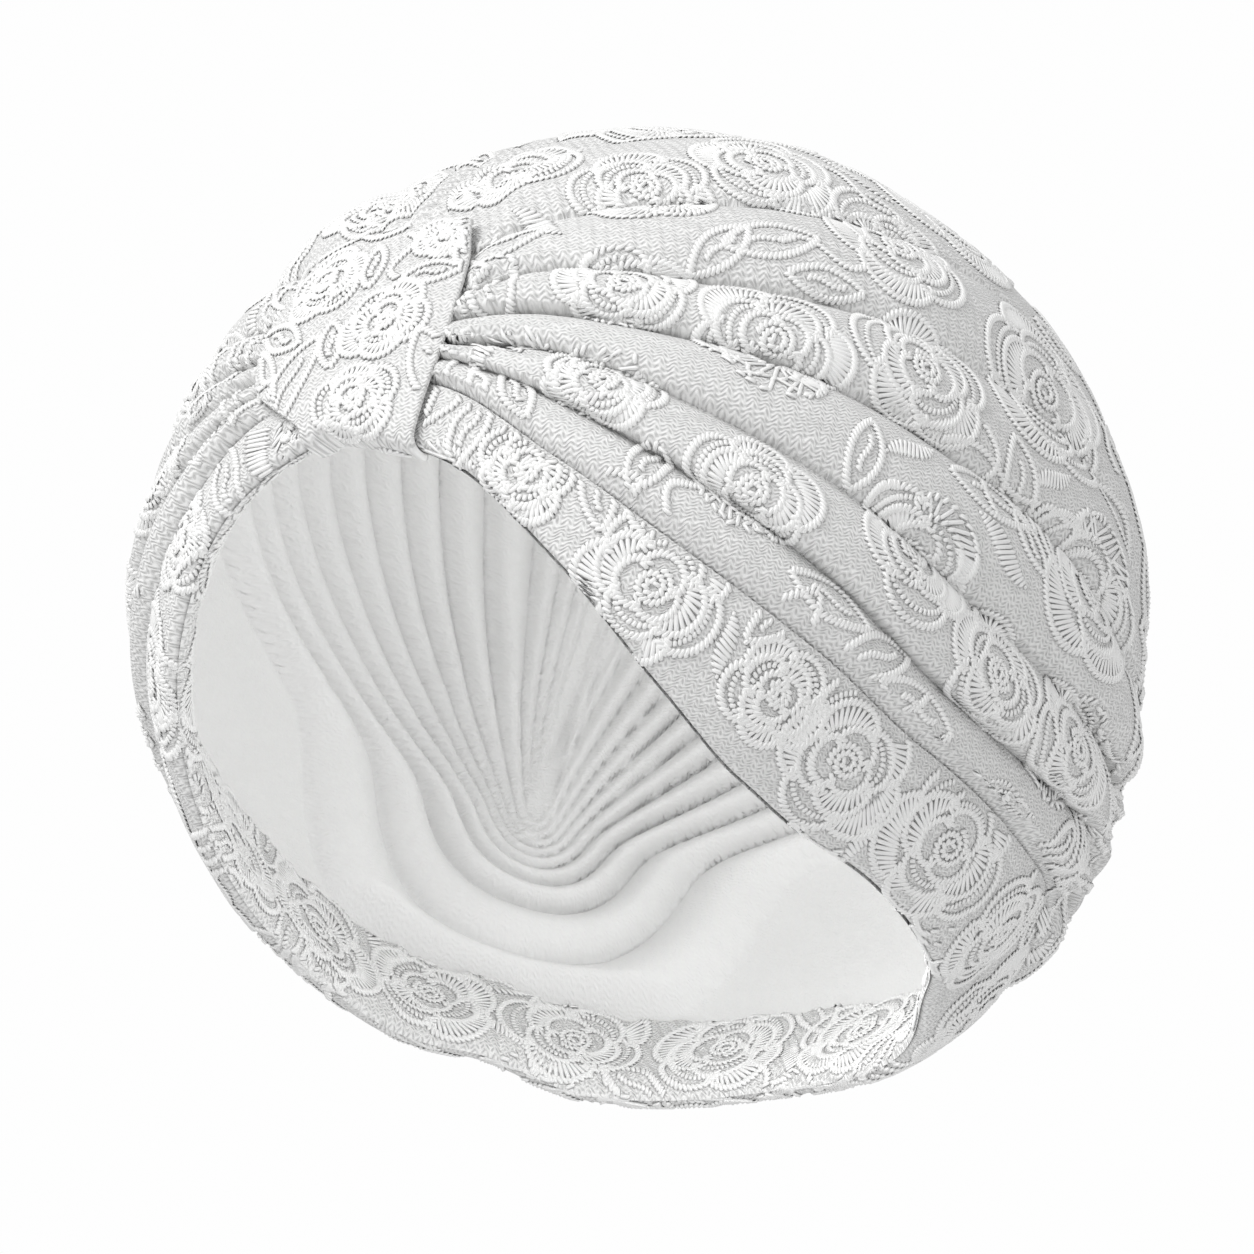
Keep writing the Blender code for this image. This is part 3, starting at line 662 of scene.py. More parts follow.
def tuft_grid(sign):
    """Bunched lace along one gather: a row of soft puckered lobes over the drawn seam."""
    side, level = np.meshgrid(np.linspace(-1, 1, TUFT_COLUMNS), np.linspace(*TUFT_LEVELS, TUFT_ROWS))
    base = crown_points(GATHER_AZIMUTH + TUFT_HALF_WIDTH * side, level)
    out = unit(base)
    along = (level - level[0, 0]) / (level[-1, 0] - level[0, 0])
    lobe = np.abs(np.sin(np.pi * TUFT_LOBES * along)) ** 0.7
    taper = np.sin(np.pi * np.clip(along, 0.02, 0.98)) ** 0.4
    swell = TUFT_VALLEY + (1 - TUFT_VALLEY) * lobe
    height = TUFT_HEIGHT * swell * (1 - TUFT_SLOPE * side ** 2) * taper
    pucker = np.sin(np.pi * TUFT_PUCKERS * side + 5 * along) * (1 - side ** 2)
    over = base + out * (TUFT_LIFT + height + TUFT_PUCKER_HEIGHT * pucker)[..., None]
    edge = np.maximum(np.abs(side), np.abs(2 * along - 1))
    return np.where((edge > 0.999)[..., None], base - out * 0.5 * MM, over) * (sign, 1, 1)


class LaceGround:
    """A cloth's grid of points, over which lace is laid by walking from place to place.

    A place is a row and a column of the grid. The seam says what lies past the first and
    last columns: "crest" is the grid's other side, "ring" is its other end, "edge" is nothing.
    """

    def __init__(self, points, seam, outward):
        wide = np.concatenate([points[:, -1:], points, points[:, :1]], 1) if seam == "ring" else points
        down, right = np.gradient(wide, axis=(0, 1))
        if seam == "ring":
            down, right = down[:, 1:-1], right[:, 1:-1]
        normal = unit(np.cross(right, down) + 1e-12)
        if ((normal * points).sum() > 0) != outward:
            normal = -normal
        self.seam = seam
        self.points = points
        self.fields = np.concatenate([points, right, down, normal], -1)
        self.rows, self.columns = points.shape[:2]

    def folded(self, place):
        """The same places, brought back on the grid over its seam, and which lie on the cloth."""
        row, column = place[:, 0].copy(), place[:, 1].copy()
        last = self.columns - 1
        if self.seam == "ring":
            column %= self.columns
            on = np.ones(len(row), bool)
        else:
            on = (column >= 0) & (column <= last)
            if self.seam == "crest":
                row = np.where(on, row, self.rows - 1 - row)
                on = np.ones(len(row), bool)
            column = np.where(column < 0, -column, column)
            column = np.where(column > last, 2 * last - column, column)
        on = on & (row >= 0) & (row <= self.rows - 1)
        return np.stack([np.clip(row, 0, self.rows - 1), np.clip(column, 0, self.columns)], 1), on

    def read(self, place):
        """Point, step along a row, step along a column and normal at each place."""
        row = np.minimum(place[:, 0].astype(int), self.rows - 2)
        column = np.minimum(place[:, 1].astype(int), self.columns - (1 if self.seam == "ring" else 2))
        after = (column + 1) % self.columns
        down, right = (place[:, 0] - row)[:, None], (place[:, 1] - column)[:, None]
        found = ((self.fields[row, column] * (1 - right) + self.fields[row, after] * right) * (1 - down)
                 + (self.fields[row + 1, column] * (1 - right) + self.fields[row + 1, after] * right) * down)
        return found[:, 0:3], found[:, 3:6], found[:, 6:9], unit(found[:, 9:12])

    def walk(self, place, way):
        """Places reached by going each way, a vector with the walk's length, over the cloth."""
        length = np.linalg.norm(way, axis=1)
        steps = max(1, int(np.ceil(length.max() / WALK_STEP)))
        on = np.ones(len(place), bool)
        for _ in range(steps):
            _, right, down, normal = self.read(place)
            way = way - (way * normal).sum(1)[:, None] * normal
            way = way * (length / np.maximum(np.linalg.norm(way, axis=1), 1e-9))[:, None]
            a, b, c = (right * right).sum(1), (right * down).sum(1), (down * down).sum(1)
            x, y = (right * way).sum(1) / steps, (down * way).sum(1) / steps
            area = np.maximum(a * c - b * b, 1e-16)
            move = np.stack([(a * y - b * x) / area, (c * x - b * y) / area], 1)
            place, still = self.folded(place + np.clip(move, -WALK_LIMIT, WALK_LIMIT))
            on &= still
        return place, on

    def nearest(self, azimuth, elevation):
        """Place of the grid point that lies most nearly in a direction, or None far from the cloth."""
        found = unit(self.points) @ direction(azimuth, elevation)
        if found.max() < math.cos(MOTIF_MISS / FORM_RADIUS):
            return None
        return np.array(np.unravel_index(int(found.argmax()), found.shape), float)


def cord(x, y, width, slant=STITCH_SLANT):
    """Satin stitches along a flat path in mm: x, y, the thread's direction and half its length."""
    path = np.stack([x, y], 1)
    run = np.concatenate([[0], np.cumsum(np.linalg.norm(np.diff(path, axis=0), axis=1))])
    count = max(2, int(run[-1] / STITCH_PITCH))
    at = (np.arange(count) + 0.5) * run[-1] / count
    ahead = np.stack([np.interp(at + 0.3, run, path[:, k]) - np.interp(at - 0.3, run, path[:, k])
                      for k in (0, 1)], 1)
    lean = math.radians(slant)
    turn = np.arctan2(ahead[:, 1], ahead[:, 0]) + lean
    wide = np.interp(at, run, np.broadcast_to(width, run.shape))
    half = np.maximum(wide, 0.7) / 2 / math.sin(lean)
    flat = np.full(count, FILL_HEIGHT if slant == FILL_SLANT else 1.0)
    return np.stack([np.interp(at, run, path[:, 0]), np.interp(at, run, path[:, 1]),
                     np.cos(turn), np.sin(turn), half, flat], 1)


def rose(diameter, turn):
    """Stitches of a rose: a wound bud and rings of petals, every second petal filled."""
    radius = diameter / 2
    wind = np.linspace(0, ROSE_BUD_TURNS * 2 * np.pi, 60)
    start, growth = ROSE_BUD_REACH
    reach = radius * (start + growth * wind / wind[-1])
    rows = [cord(reach * np.cos(wind), reach * np.sin(wind), 0.85 * CORD_WIDTH)]
    t = np.linspace(0, 1, 26)
    bow = np.sin(np.pi * t) ** 0.55
    way, early = ROSE_PETAL
    for ring, (inner, outer, petals, fill) in enumerate(ROSE_RINGS):
        for petal in range(petals):
            sway = 1 + ROSE_SWAY * math.sin(turn + 2.3 * petal + 1.7 * ring)
            angle = 2 * np.pi * ((petal + way * t - early) / petals + ROSE_RING_TURN * ring)
            inside = 2 * fill * radius * bow if petal % 2 == 0 else 0.8 * CORD_WIDTH
            for share, width in ((1.0, CORD_WIDTH), (ROSE_FILL_REACH, inside)):
                if share < 1 and not fill:
                    continue
                reach = radius * (inner + share * (outer - inner) * bow) * sway
                rows.append(cord(reach * np.cos(angle), reach * np.sin(angle), width,
                                 STITCH_SLANT if share == 1 else FILL_SLANT))
    return turned(np.concatenate(rows), turn)


def leaf(length, width, turn, filled):
    """Stitches of a leaf: filled, or two bowed cords with a vein between them."""
    t = np.linspace(0, 1, 22)
    x = length * (t - 0.5)
    bow = np.sin(np.pi * t) ** 0.8
    if filled:
        rows = [cord(x, 0.12 * width * np.sin(2 * np.pi * t), width * bow, FILL_SLANT)]
    else:
        rows = [cord(x, side * width / 2 * bow, CORD_WIDTH) for side in (-1, 1)]
        rows.append(cord(0.5 * x, 0.6 * np.sin(2 * np.pi * t), 0.8 * CORD_WIDTH))
    return turned(np.concatenate(rows), turn)


def tendril(length, beside, turn):
    """Stitches of a winding cord that runs beside the middle of its place."""
    t = np.linspace(0, 1, 24)
    return turned(cord(length * (t - 0.5), beside + TENDRIL_SWING * np.sin(2 * np.pi * t), CORD_WIDTH), turn)


def turned(stitches, turn):
    """The same stitches, turned by an angle in degrees."""
    c, s = math.cos(math.radians(turn)), math.sin(math.radians(turn))
    done = stitches.copy()
    for k in (0, 2):
        done[:, k] = c * stitches[:, k] - s * stitches[:, k + 1]
        done[:, k + 1] = s * stitches[:, k] + c * stitches[:, k + 1]
    return done


def leaf_motifs(roses, keep_off):
    """Leaves and winding cords in the gaps between the roses, further than keep_off in mm."""
    made = []
    count = int(4 * np.pi * FORM_RADIUS ** 2 / LEAF_CELL)
    centres = direction(np.array([r[0] for r in roses], float), np.array([r[1] for r in roses], float))
    radii = np.array([r[2] for r in roses]) / 2
    for i in range(count):
        up = 1 - (2 * i + 1) / count
        azimuth = (math.degrees(i * GOLDEN_TURN) + 180) % 360 - 180
        elevation = math.degrees(math.asin(up))
        spot = direction(azimuth, elevation)
        gap = np.arccos(np.clip(centres @ spot, -1, 1)) * FORM_RADIUS / MM - radii
        nearest = int(np.argmin(gap))
        if gap[nearest] < keep_off:
            continue
        east, north = compass(azimuth, elevation)
        towards = centres[nearest] - spot
        turn = math.degrees(math.atan2(towards @ north, towards @ east)) + 90 + 40 * math.sin(2.4 * i)
        size = min(1.0, 0.45 + gap[nearest] / 22)
        made.append((azimuth, elevation, leaf(LEAF_LENGTH * size, LEAF_WIDTH * size, turn, i % 3 == 0)))
        if i % 2:
            beside = LEAF_WIDTH * size / 2 + TENDRIL_SWING + CORD_WIDTH
            made.append((azimuth, elevation, tendril(TENDRIL_LENGTH * size, beside, turn)))
    return made


def rose_motifs(roses):
    """The roses of a table as motifs: azimuth, elevation and stitches."""
    return [(azimuth, elevation, rose(diameter, turn)) for azimuth, elevation, diameter, turn in roses]


def compass(azimuth, elevation):
    """Unit vectors to the east and to the north of a direction."""
    a, e = math.radians(azimuth), math.radians(elevation)
    return (np.array([math.cos(a), math.sin(a), 0]),
            np.array([-math.sin(a) * math.sin(e), math.cos(a) * math.sin(e), math.cos(e)]))


def stitched(name, motifs, ground, height, keep):
    """Mesh of small closed ridges, one for each satin stitch, laid over the folds of a cloth."""
    places, ways, threads, halves, flats = [], [], [], [], []
    for azimuth, elevation, stitches in motifs:
        place = ground.nearest(azimuth, elevation)
        if place is None:
            continue
        east, north = compass(azimuth, elevation)
        places.append(np.tile(place, (len(stitches), 1)))
        ways.append((stitches[:, :1] * east + stitches[:, 1:2] * north) * MM)
        threads.append((stitches[:, 2:3] * east + stitches[:, 3:4] * north) * MM)
        halves.append(stitches[:, 4])
        flats.append(stitches[:, 5])
    places, ways, threads = np.concatenate(places), np.concatenate(ways), np.concatenate(threads)
    halves, flats = np.concatenate(halves) * MM, np.concatenate(flats)
    middle, on = ground.walk(places, ways)
    ahead, on_ahead = ground.walk(places, ways + 0.5 * threads)
    point = ground.read(middle)[0]
    bearing = np.degrees(np.arctan2(point[:, 0], -point[:, 1]))
    kept = on & on_ahead & keep(bearing, angles(unit(point))[1])
    middle, halves, flats = middle[kept], halves[kept], flats[kept]
    _, _, _, normal = ground.read(middle)
    thread = ground.read(ahead[kept])[0] - point[kept]
    thread = unit(thread - (thread * normal).sum(1)[:, None] * normal + 1e-12)
    number = np.arange(len(middle))
    jitter = STITCH_JITTER * np.sin(UNEVEN_STEPS[0] * number)
    beside = np.cross(normal, thread)
    thread = unit(thread + jitter[:, None] * beside)
    beside = np.cross(normal, thread)
    halves = halves * (1 + STITCH_JITTER * np.sin(UNEVEN_STEPS[1] * number))
    points, whole = [], np.ones(len(middle), bool)
    for along, across, lift in STITCH_POINTS:
        way = thread * (along * halves)[:, None] + beside * (across * STITCH_PITCH * MM)
        place, on = ground.walk(middle, way)
        point, _, _, normal = ground.read(place)
        points.append(point + normal * (lift * height * flats)[:, None])
        whole &= on
    points = np.stack(points, 1)[whole]
    reach = np.linalg.norm(points - points.mean(1)[:, None], axis=2).max(1)
    points = points[reach < STITCH_STRETCH * halves[whole] + STITCH_PITCH * MM]
    count, size = len(points), len(STITCH_POINTS)
    faces = (np.arange(count)[:, None, None] * size + np.array(STITCH_FACES)).reshape(-1, 3)
    on_stitch = [(0.5 + 0.9 * across, 0.5 + 0.5 * along) for along, across, _ in STITCH_POINTS]
    return cloth_mesh(name, points.reshape(-1, 3), faces, np.tile(on_stitch, (count, 1)))


def both_rose_sides(rows):
    """The roses of a table on the wearer's left, and turned ones on the right."""
    return rows + [(-a, e, size, turn + OTHER_SIDE_TURN) for a, e, size, turn in rows]


def node(tree, kind, **values):
    """Shader node with the given settings and socket values."""
    made = tree.nodes.new(kind)
    for key, value in values.items():
        if hasattr(made, key):
            setattr(made, key, value)
        else:
            made.inputs[key.replace("_", " ")].default_value = value
    return made


def maths(tree, operation, first, second=None):
    """Output of a Math node on sockets or numbers."""
    made = node(tree, "ShaderNodeMath", operation=operation)
    for socket, value in zip(made.inputs, (first, second)):
        if value is None:
            continue
        if isinstance(value, bpy.types.NodeSocket):
            tree.links.new(value, socket)
        else:
            socket.default_value = value
    return made.outputs[0]


def effect(name, inputs, outputs):
    """Empty shader group with named inputs, (name, kind, default), and named outputs."""
    tree = bpy.data.node_groups.new(name, "ShaderNodeTree")
    for title, kind, default in inputs:
        socket = tree.interface.new_socket(title, in_out="INPUT", socket_type=kind)
        if default is not None:
            socket.default_value = default
    for title in outputs:
        tree.interface.new_socket(title, in_out="OUTPUT", socket_type="NodeSocketFloat")
    return tree, tree.nodes.new("NodeGroupInput"), tree.nodes.new("NodeGroupOutput")


def wavy_knit():
    """Effect: rows of small wavy loops, for a place on the cloth in metres, with a mask of the openings
    between them that is used for painted shade.
    """
    if "wavy_knit" in bpy.data.node_groups:
        return bpy.data.node_groups["wavy_knit"]
    tree, start, end = effect(
        "wavy_knit",
        [("Place", "NodeSocketVector", None), ("Row", "NodeSocketFloat", 0.001),
         ("Waviness", "NodeSocketFloat", 0.4)],
        ["Height", "Gap_shade"])
    split = node(tree, "ShaderNodeSeparateXYZ")
    tree.links.new(start.outputs["Place"], split.inputs[0])
    x = maths(tree, "DIVIDE", split.outputs[0], start.outputs["Row"])
    y = maths(tree, "DIVIDE", split.outputs[1], start.outputs["Row"])
    drift = node(tree, "ShaderNodeTexNoise", Scale=220.0, Detail=1.0)
    tree.links.new(start.outputs["Place"], drift.inputs["Vector"])
    wander = maths(tree, "MULTIPLY", drift.outputs[0], 2.4)
    swing = maths(tree, "SINE", maths(tree, "MULTIPLY", x, 2.1))
    wave = maths(tree, "MULTIPLY", swing, start.outputs["Waviness"])
    row = maths(tree, "ADD", maths(tree, "ADD", y, wave), wander)
    ridge = maths(tree, "SINE", maths(tree, "MULTIPLY", row, 2 * math.pi))
    loop = maths(tree, "SINE", maths(tree, "ADD", maths(tree, "MULTIPLY", x, 4.4),
                                     maths(tree, "MULTIPLY", maths(tree, "FLOOR", row), 2.1)))
    height = maths(tree, "ADD", maths(tree, "MULTIPLY", ridge, 0.34), maths(tree, "MULTIPLY", loop, 0.16))
    height = maths(tree, "ADD", height, 0.5)
    # mask of the openings between the loops, which the lace mesh colours darker as painted shade
    gap = node(tree, "ShaderNodeMapRange", interpolation_type="SMOOTHSTEP")
    for socket, value in zip(list(gap.inputs)[1:5], (0.12, 0.42, 1.0, 0.0)):
        socket.default_value = value
    tree.links.new(height, gap.inputs[0])
    tree.links.new(height, end.inputs["Height"])
    tree.links.new(gap.outputs[0], end.inputs["Gap_shade"])
    return tree


def soft_fuzz():
    """Effect: brushed fibres, for a place in metres."""
    if "soft_fuzz" in bpy.data.node_groups:
        return bpy.data.node_groups["soft_fuzz"]
    tree, start, end = effect(
        "soft_fuzz",
        [("Place", "NodeSocketVector", None), ("Fineness", "NodeSocketFloat", 900.0)],
        ["Height", "Tint"])
    fine = node(tree, "ShaderNodeTexNoise", Detail=4.0, Roughness=0.65, Distortion=0.6)
    broad = node(tree, "ShaderNodeTexNoise", Scale=45.0, Detail=3.0)
    tree.links.new(start.outputs["Place"], fine.inputs["Vector"])
    tree.links.new(start.outputs["Fineness"], fine.inputs["Scale"])
    tree.links.new(start.outputs["Place"], broad.inputs["Vector"])
    tree.links.new(fine.outputs[0], end.inputs["Height"])
    tint = maths(tree, "ADD", maths(tree, "MULTIPLY", fine.outputs[0], 0.6),
                 maths(tree, "MULTIPLY", broad.outputs[0], 0.4))
    tree.links.new(tint, end.inputs["Tint"])
    return tree


def use_effect(tree, group, place, **values):
    """Node of an effect group, fed with a place."""
    made = node(tree, "ShaderNodeGroup")
    made.node_tree = group
    tree.links.new(place, made.inputs["Place"])
    for key, value in values.items():
        made.inputs[key].default_value = value
    return made


def cloth_material(name, roughness, sheen):
    """Material with its shader and the cloth's own map; returns tree, shader and place."""
    made = bpy.data.materials.new(name)
    made.use_nodes = True
    tree = made.node_tree
    shader = tree.nodes["Principled BSDF"]
    shader.inputs["Roughness"].default_value = roughness
    shader.inputs["Sheen Weight"].default_value = sheen
    shader.inputs["Sheen Roughness"].default_value = 0.5
    shader.inputs["Specular IOR Level"].default_value = 0.25
    place = node(tree, "ShaderNodeUVMap", uv_map="cloth").outputs[0]
    return made, tree, shader, place


def tinted(tree, factor, low, high):
    """Colour that goes from one to the other with a factor."""
    mix = node(tree, "ShaderNodeMix", data_type="RGBA")
    mix.inputs[6].default_value = low
    mix.inputs[7].default_value = high
    tree.links.new(factor, mix.inputs[0])
    return mix.outputs[2]


def bumped(tree, shader, height, depth):
    """Puts a height on the shader as relief of the given depth in metres."""
    bump = node(tree, "ShaderNodeBump", Distance=depth)
    tree.links.new(height, bump.inputs["Height"])
    tree.links.new(bump.outputs[0], shader.inputs["Normal"])


def darker(colour, share):
    """The same colour, darker by a share."""
    return tuple(c * (1 - share) for c in colour[:3]) + (1.0,)


def lace_mesh_finish():
    """Knit mesh of the lace, with painted shade darkening the small openings between its loops."""
    if "lace_mesh" in bpy.data.materials:
        return bpy.data.materials["lace_mesh"]
    sizes, colours = bpy.context.scene.headwrap_sizes, bpy.context.scene.headwrap_colours
    made, tree, shader, place = cloth_material("lace_mesh", roughness=0.85, sheen=0.1)
    knit = use_effect(tree, wavy_knit(), place, Row=sizes.knit_row, Waviness=0.45)
    # painted shade: the openings between the loops are coloured darker than the mesh
    gap = maths(tree, "MULTIPLY", knit.outputs["Gap_shade"], 0.8)
    colour = tinted(tree, gap, tuple(colours.mesh), darker(colours.mesh, share=0.38))
    tree.links.new(colour, shader.inputs["Base Color"])
    bumped(tree, shader, knit.outputs["Height"], depth=0.35 * MM)
    return made


def satin_finish():
    """Satin thread of the lace's stitches, with fine strands along each one."""
    if "satin_thread" in bpy.data.materials:
        return bpy.data.materials["satin_thread"]
    colours = bpy.context.scene.headwrap_colours
    made, tree, shader, place = cloth_material("satin_thread", roughness=0.6, sheen=0.15)
    split = node(tree, "ShaderNodeSeparateXYZ")
    tree.links.new(place, split.inputs[0])
    strand = maths(tree, "SINE", maths(tree, "ADD", maths(tree, "MULTIPLY", split.outputs[0], 26.0),
                                       maths(tree, "MULTIPLY", split.outputs[1], 3.0)))
    height = maths(tree, "ADD", maths(tree, "MULTIPLY", strand, 0.5), 0.5)
    tree.links.new(tinted(tree, height, darker(colours.thread, 0.04), tuple(colours.thread)),
                   shader.inputs["Base Color"])
    bumped(tree, shader, height, depth=0.05 * MM)
    return made


def lining_finish():
    """Soft brushed knit, whose rows of loops only just show."""
    if "brushed_knit" in bpy.data.materials:
        return bpy.data.materials["brushed_knit"]
    sizes, colours = bpy.context.scene.headwrap_sizes, bpy.context.scene.headwrap_colours
    made, tree, shader, place = cloth_material("brushed_knit", roughness=0.95, sheen=0.3)
    knit = use_effect(tree, wavy_knit(), place, Row=sizes.lining_row, Waviness=0.3)
    fuzz = use_effect(tree, soft_fuzz(), place, Fineness=1500.0)
    height = maths(tree, "ADD", maths(tree, "MULTIPLY", knit.outputs["Height"], 0.3),
                   maths(tree, "MULTIPLY", fuzz.outputs["Height"], 0.7))
    tree.links.new(tinted(tree, fuzz.outputs["Tint"], darker(colours.lining, 0.05), tuple(colours.lining)),
                   shader.inputs["Base Color"])
    bumped(tree, shader, height, depth=0.3 * MM)
    return made


def stitches_over(name, motifs, ground, height, keep):
    """Piece of lace stitches on a cloth."""
    return new_piece(name, stitched(name, motifs, ground, height, keep), satin_finish())


class HEADWRAP_OT_make_crown(bpy.types.Operator):
    """Make the folded lace crown and its stitches"""
    bl_idname = "headwrap.make_crown"
    bl_label = "Crown"

    def execute(self, context):
        grid = crown_grid()
        mesh = cloth_mesh("crown_cloth", grid, crest_faces(*grid.shape[:2]))
        crown = new_piece("crown_cloth", mesh, lace_mesh_finish(), ["crown_lace"])
        ground = LaceGround(grid, "crest", True)
        roses = both_rose_sides(ROSES_SIDE)
        motifs = rose_motifs(roses) + leaf_motifs(roses, keep_off=2.5)
        height = context.scene.headwrap_sizes.cord_height

        def shows(azimuth, elevation):
            side = np.abs(azimuth)
            over = elevation > curve(side, BAND_TOP) + LACE_MARGIN
            first, last, top = KNOT_COVERS_CROWN
            in_knot = (azimuth > first) & (azimuth < last) & (elevation < top)
            in_tuft = (np.abs(side - GATHER_AZIMUTH) < TUFT_HALF_WIDTH) & (elevation < GATHER_TOP + 6)
            return over & ~in_knot & ~in_tuft

        pieces = [
            stitches_over("crown_stitches_left", motifs, ground, height,
                          lambda a, e: shows(a, e) & (a >= 0)),
            stitches_over("crown_stitches_right", motifs, ground, height,
                          lambda a, e: shows(a, e) & (a < 0))]
        return {"FINISHED"}


def clear_of_knot(azimuth, elevation):
    """True where the knot doesn't cover the brim."""
    first, last = KNOT_COVERS_BRIM
    return (azimuth < first) | (azimuth > last)


class HEADWRAP_OT_make_band(bpy.types.Operator):
    """Make the brim band, its facing inside the rim, and their stitches"""
    bl_idname = "headwrap.make_band"
    bl_label = "Band and facing"

    def execute(self, context):
        height = context.scene.headwrap_sizes.cord_height
        roses = both_rose_sides(ROSES_BAND)
        motifs = rose_motifs(roses) + leaf_motifs(roses, keep_off=1.5)
        grid = band_grid()
        band = new_piece("band_cloth", ring_mesh("band_cloth", grid), lace_mesh_finish(),
                         ["brim_band"])

        def outside(azimuth, elevation):
            under = elevation < curve(np.abs(azimuth), BAND_TOP) - LACE_MARGIN
            return clear_of_knot(azimuth, elevation) & under

        stitches = stitches_over("band_stitches", motifs, LaceGround(grid, "ring", True), height, outside)
        grid = facing_grid()
        facing = new_piece("facing_cloth", ring_mesh("facing_cloth", grid), lace_mesh_finish(),
                           ["inner_facing"])
        stitches = stitches_over("facing_stitches", motifs, LaceGround(grid, "ring", False), 0.7 * height,
                                 clear_of_knot)
        return {"FINISHED"}


class HEADWRAP_OT_make_lining(bpy.types.Operator):
    """Make the pleated knit lining"""
    bl_idname = "headwrap.make_lining"
    bl_label = "Lining"

    def execute(self, context):
        lining = new_piece("lining_cloth", lining_mesh(), lining_finish(), ["lining_knit"])
        return {"FINISHED"}


class HEADWRAP_OT_make_knot(bpy.types.Operator):
    """Make the front knot and its stitches"""
    bl_idname = "headwrap.make_knot"
    bl_label = "Front knot"

    def execute(self, context):
        grid = knot_points(KNOT_ROWS, KNOT_COLUMNS)
        mesh = cloth_mesh("knot_cloth", grid, grid_faces(KNOT_ROWS, KNOT_COLUMNS)[:, ::-1])
        knot = new_piece("knot_cloth", mesh, lace_mesh_finish(), ["front_knot"])
        motifs = rose_motifs(ROSES_KNOT) + leaf_motifs(ROSES_KNOT, keep_off=0.5)
        stitches = stitches_over("knot_stitches", motifs, LaceGround(grid, "edge", True),
                                 context.scene.headwrap_sizes.cord_height,
                                 lambda a, e: (np.abs(a) < KNOT_LACE[0]) & (e < KNOT_LACE[1]))
        wall = knot.modifiers.new("wall", "SOLIDIFY")
        wall.thickness = KNOT_WALL
        wall.offset = -1.0
        soften = knot.modifiers.new("soften", "BEVEL")
        soften.width = 0.4 * KNOT_WALL
        soften.segments = 2
        return {"FINISHED"}


class HEADWRAP_OT_make_gathers(bpy.types.Operator):
    """Make the bunched lace along the two gathers"""
    bl_idname = "headwrap.make_gathers"
    bl_label = "Gathers"

    def execute(self, context):
        for side, sign in (("left", 1), ("right", -1)):
            grid = tuft_grid(sign)
            faces = grid_faces(TUFT_ROWS, TUFT_COLUMNS)
            mesh = cloth_mesh(f"gather_{side}_cloth", grid, faces if sign > 0 else faces[:, ::-1])
            tuft = new_piece(f"gather_{side}_cloth", mesh, lace_mesh_finish(),
                             [f"gather_{side}"])
            reach = np.linspace(-TUFT_CORD_REACH, TUFT_CORD_REACH, 20)
            motifs = [(sign * GATHER_AZIMUTH, level, cord(reach, np.sin(reach / 2), CORD_WIDTH))
                      for level in np.linspace(*TUFT_CORD_LEVELS)]
            stitches = stitches_over(f"gather_{side}_stitches", motifs, LaceGround(grid, "edge", True),
                                     context.scene.headwrap_sizes.cord_height,
                                     lambda a, e: np.abs(np.abs(a) - GATHER_AZIMUTH) < TUFT_HALF_WIDTH)
        return {"FINISHED"}


def view_axes():
    """Right, up and back of the camera."""
    a, e, roll = (math.radians(v) for v in (VIEW_AZIMUTH, VIEW_ELEVATION, VIEW_ROLL))
    back = Vector((math.sin(a) * math.cos(e), -math.cos(a) * math.cos(e), math.sin(e)))
    level = Vector((math.cos(a), math.sin(a), 0))
    upright = back.cross(level)
    right = math.cos(roll) * level + math.sin(roll) * upright
    up = math.cos(roll) * upright - math.sin(roll) * level
    return right, up, back


def as_seen(place):
    """Point that is so far back, up and right of the origin for the camera."""
    right, up, back = view_axes()
    return back * place[0] + up * place[1] + right * place[2]


def aimed(place):
    """Matrix of a lamp at a place that shines at the origin."""
    return Matrix.Translation(place) @ (-place).to_track_quat("-Z", "Y").to_matrix().to_4x4()


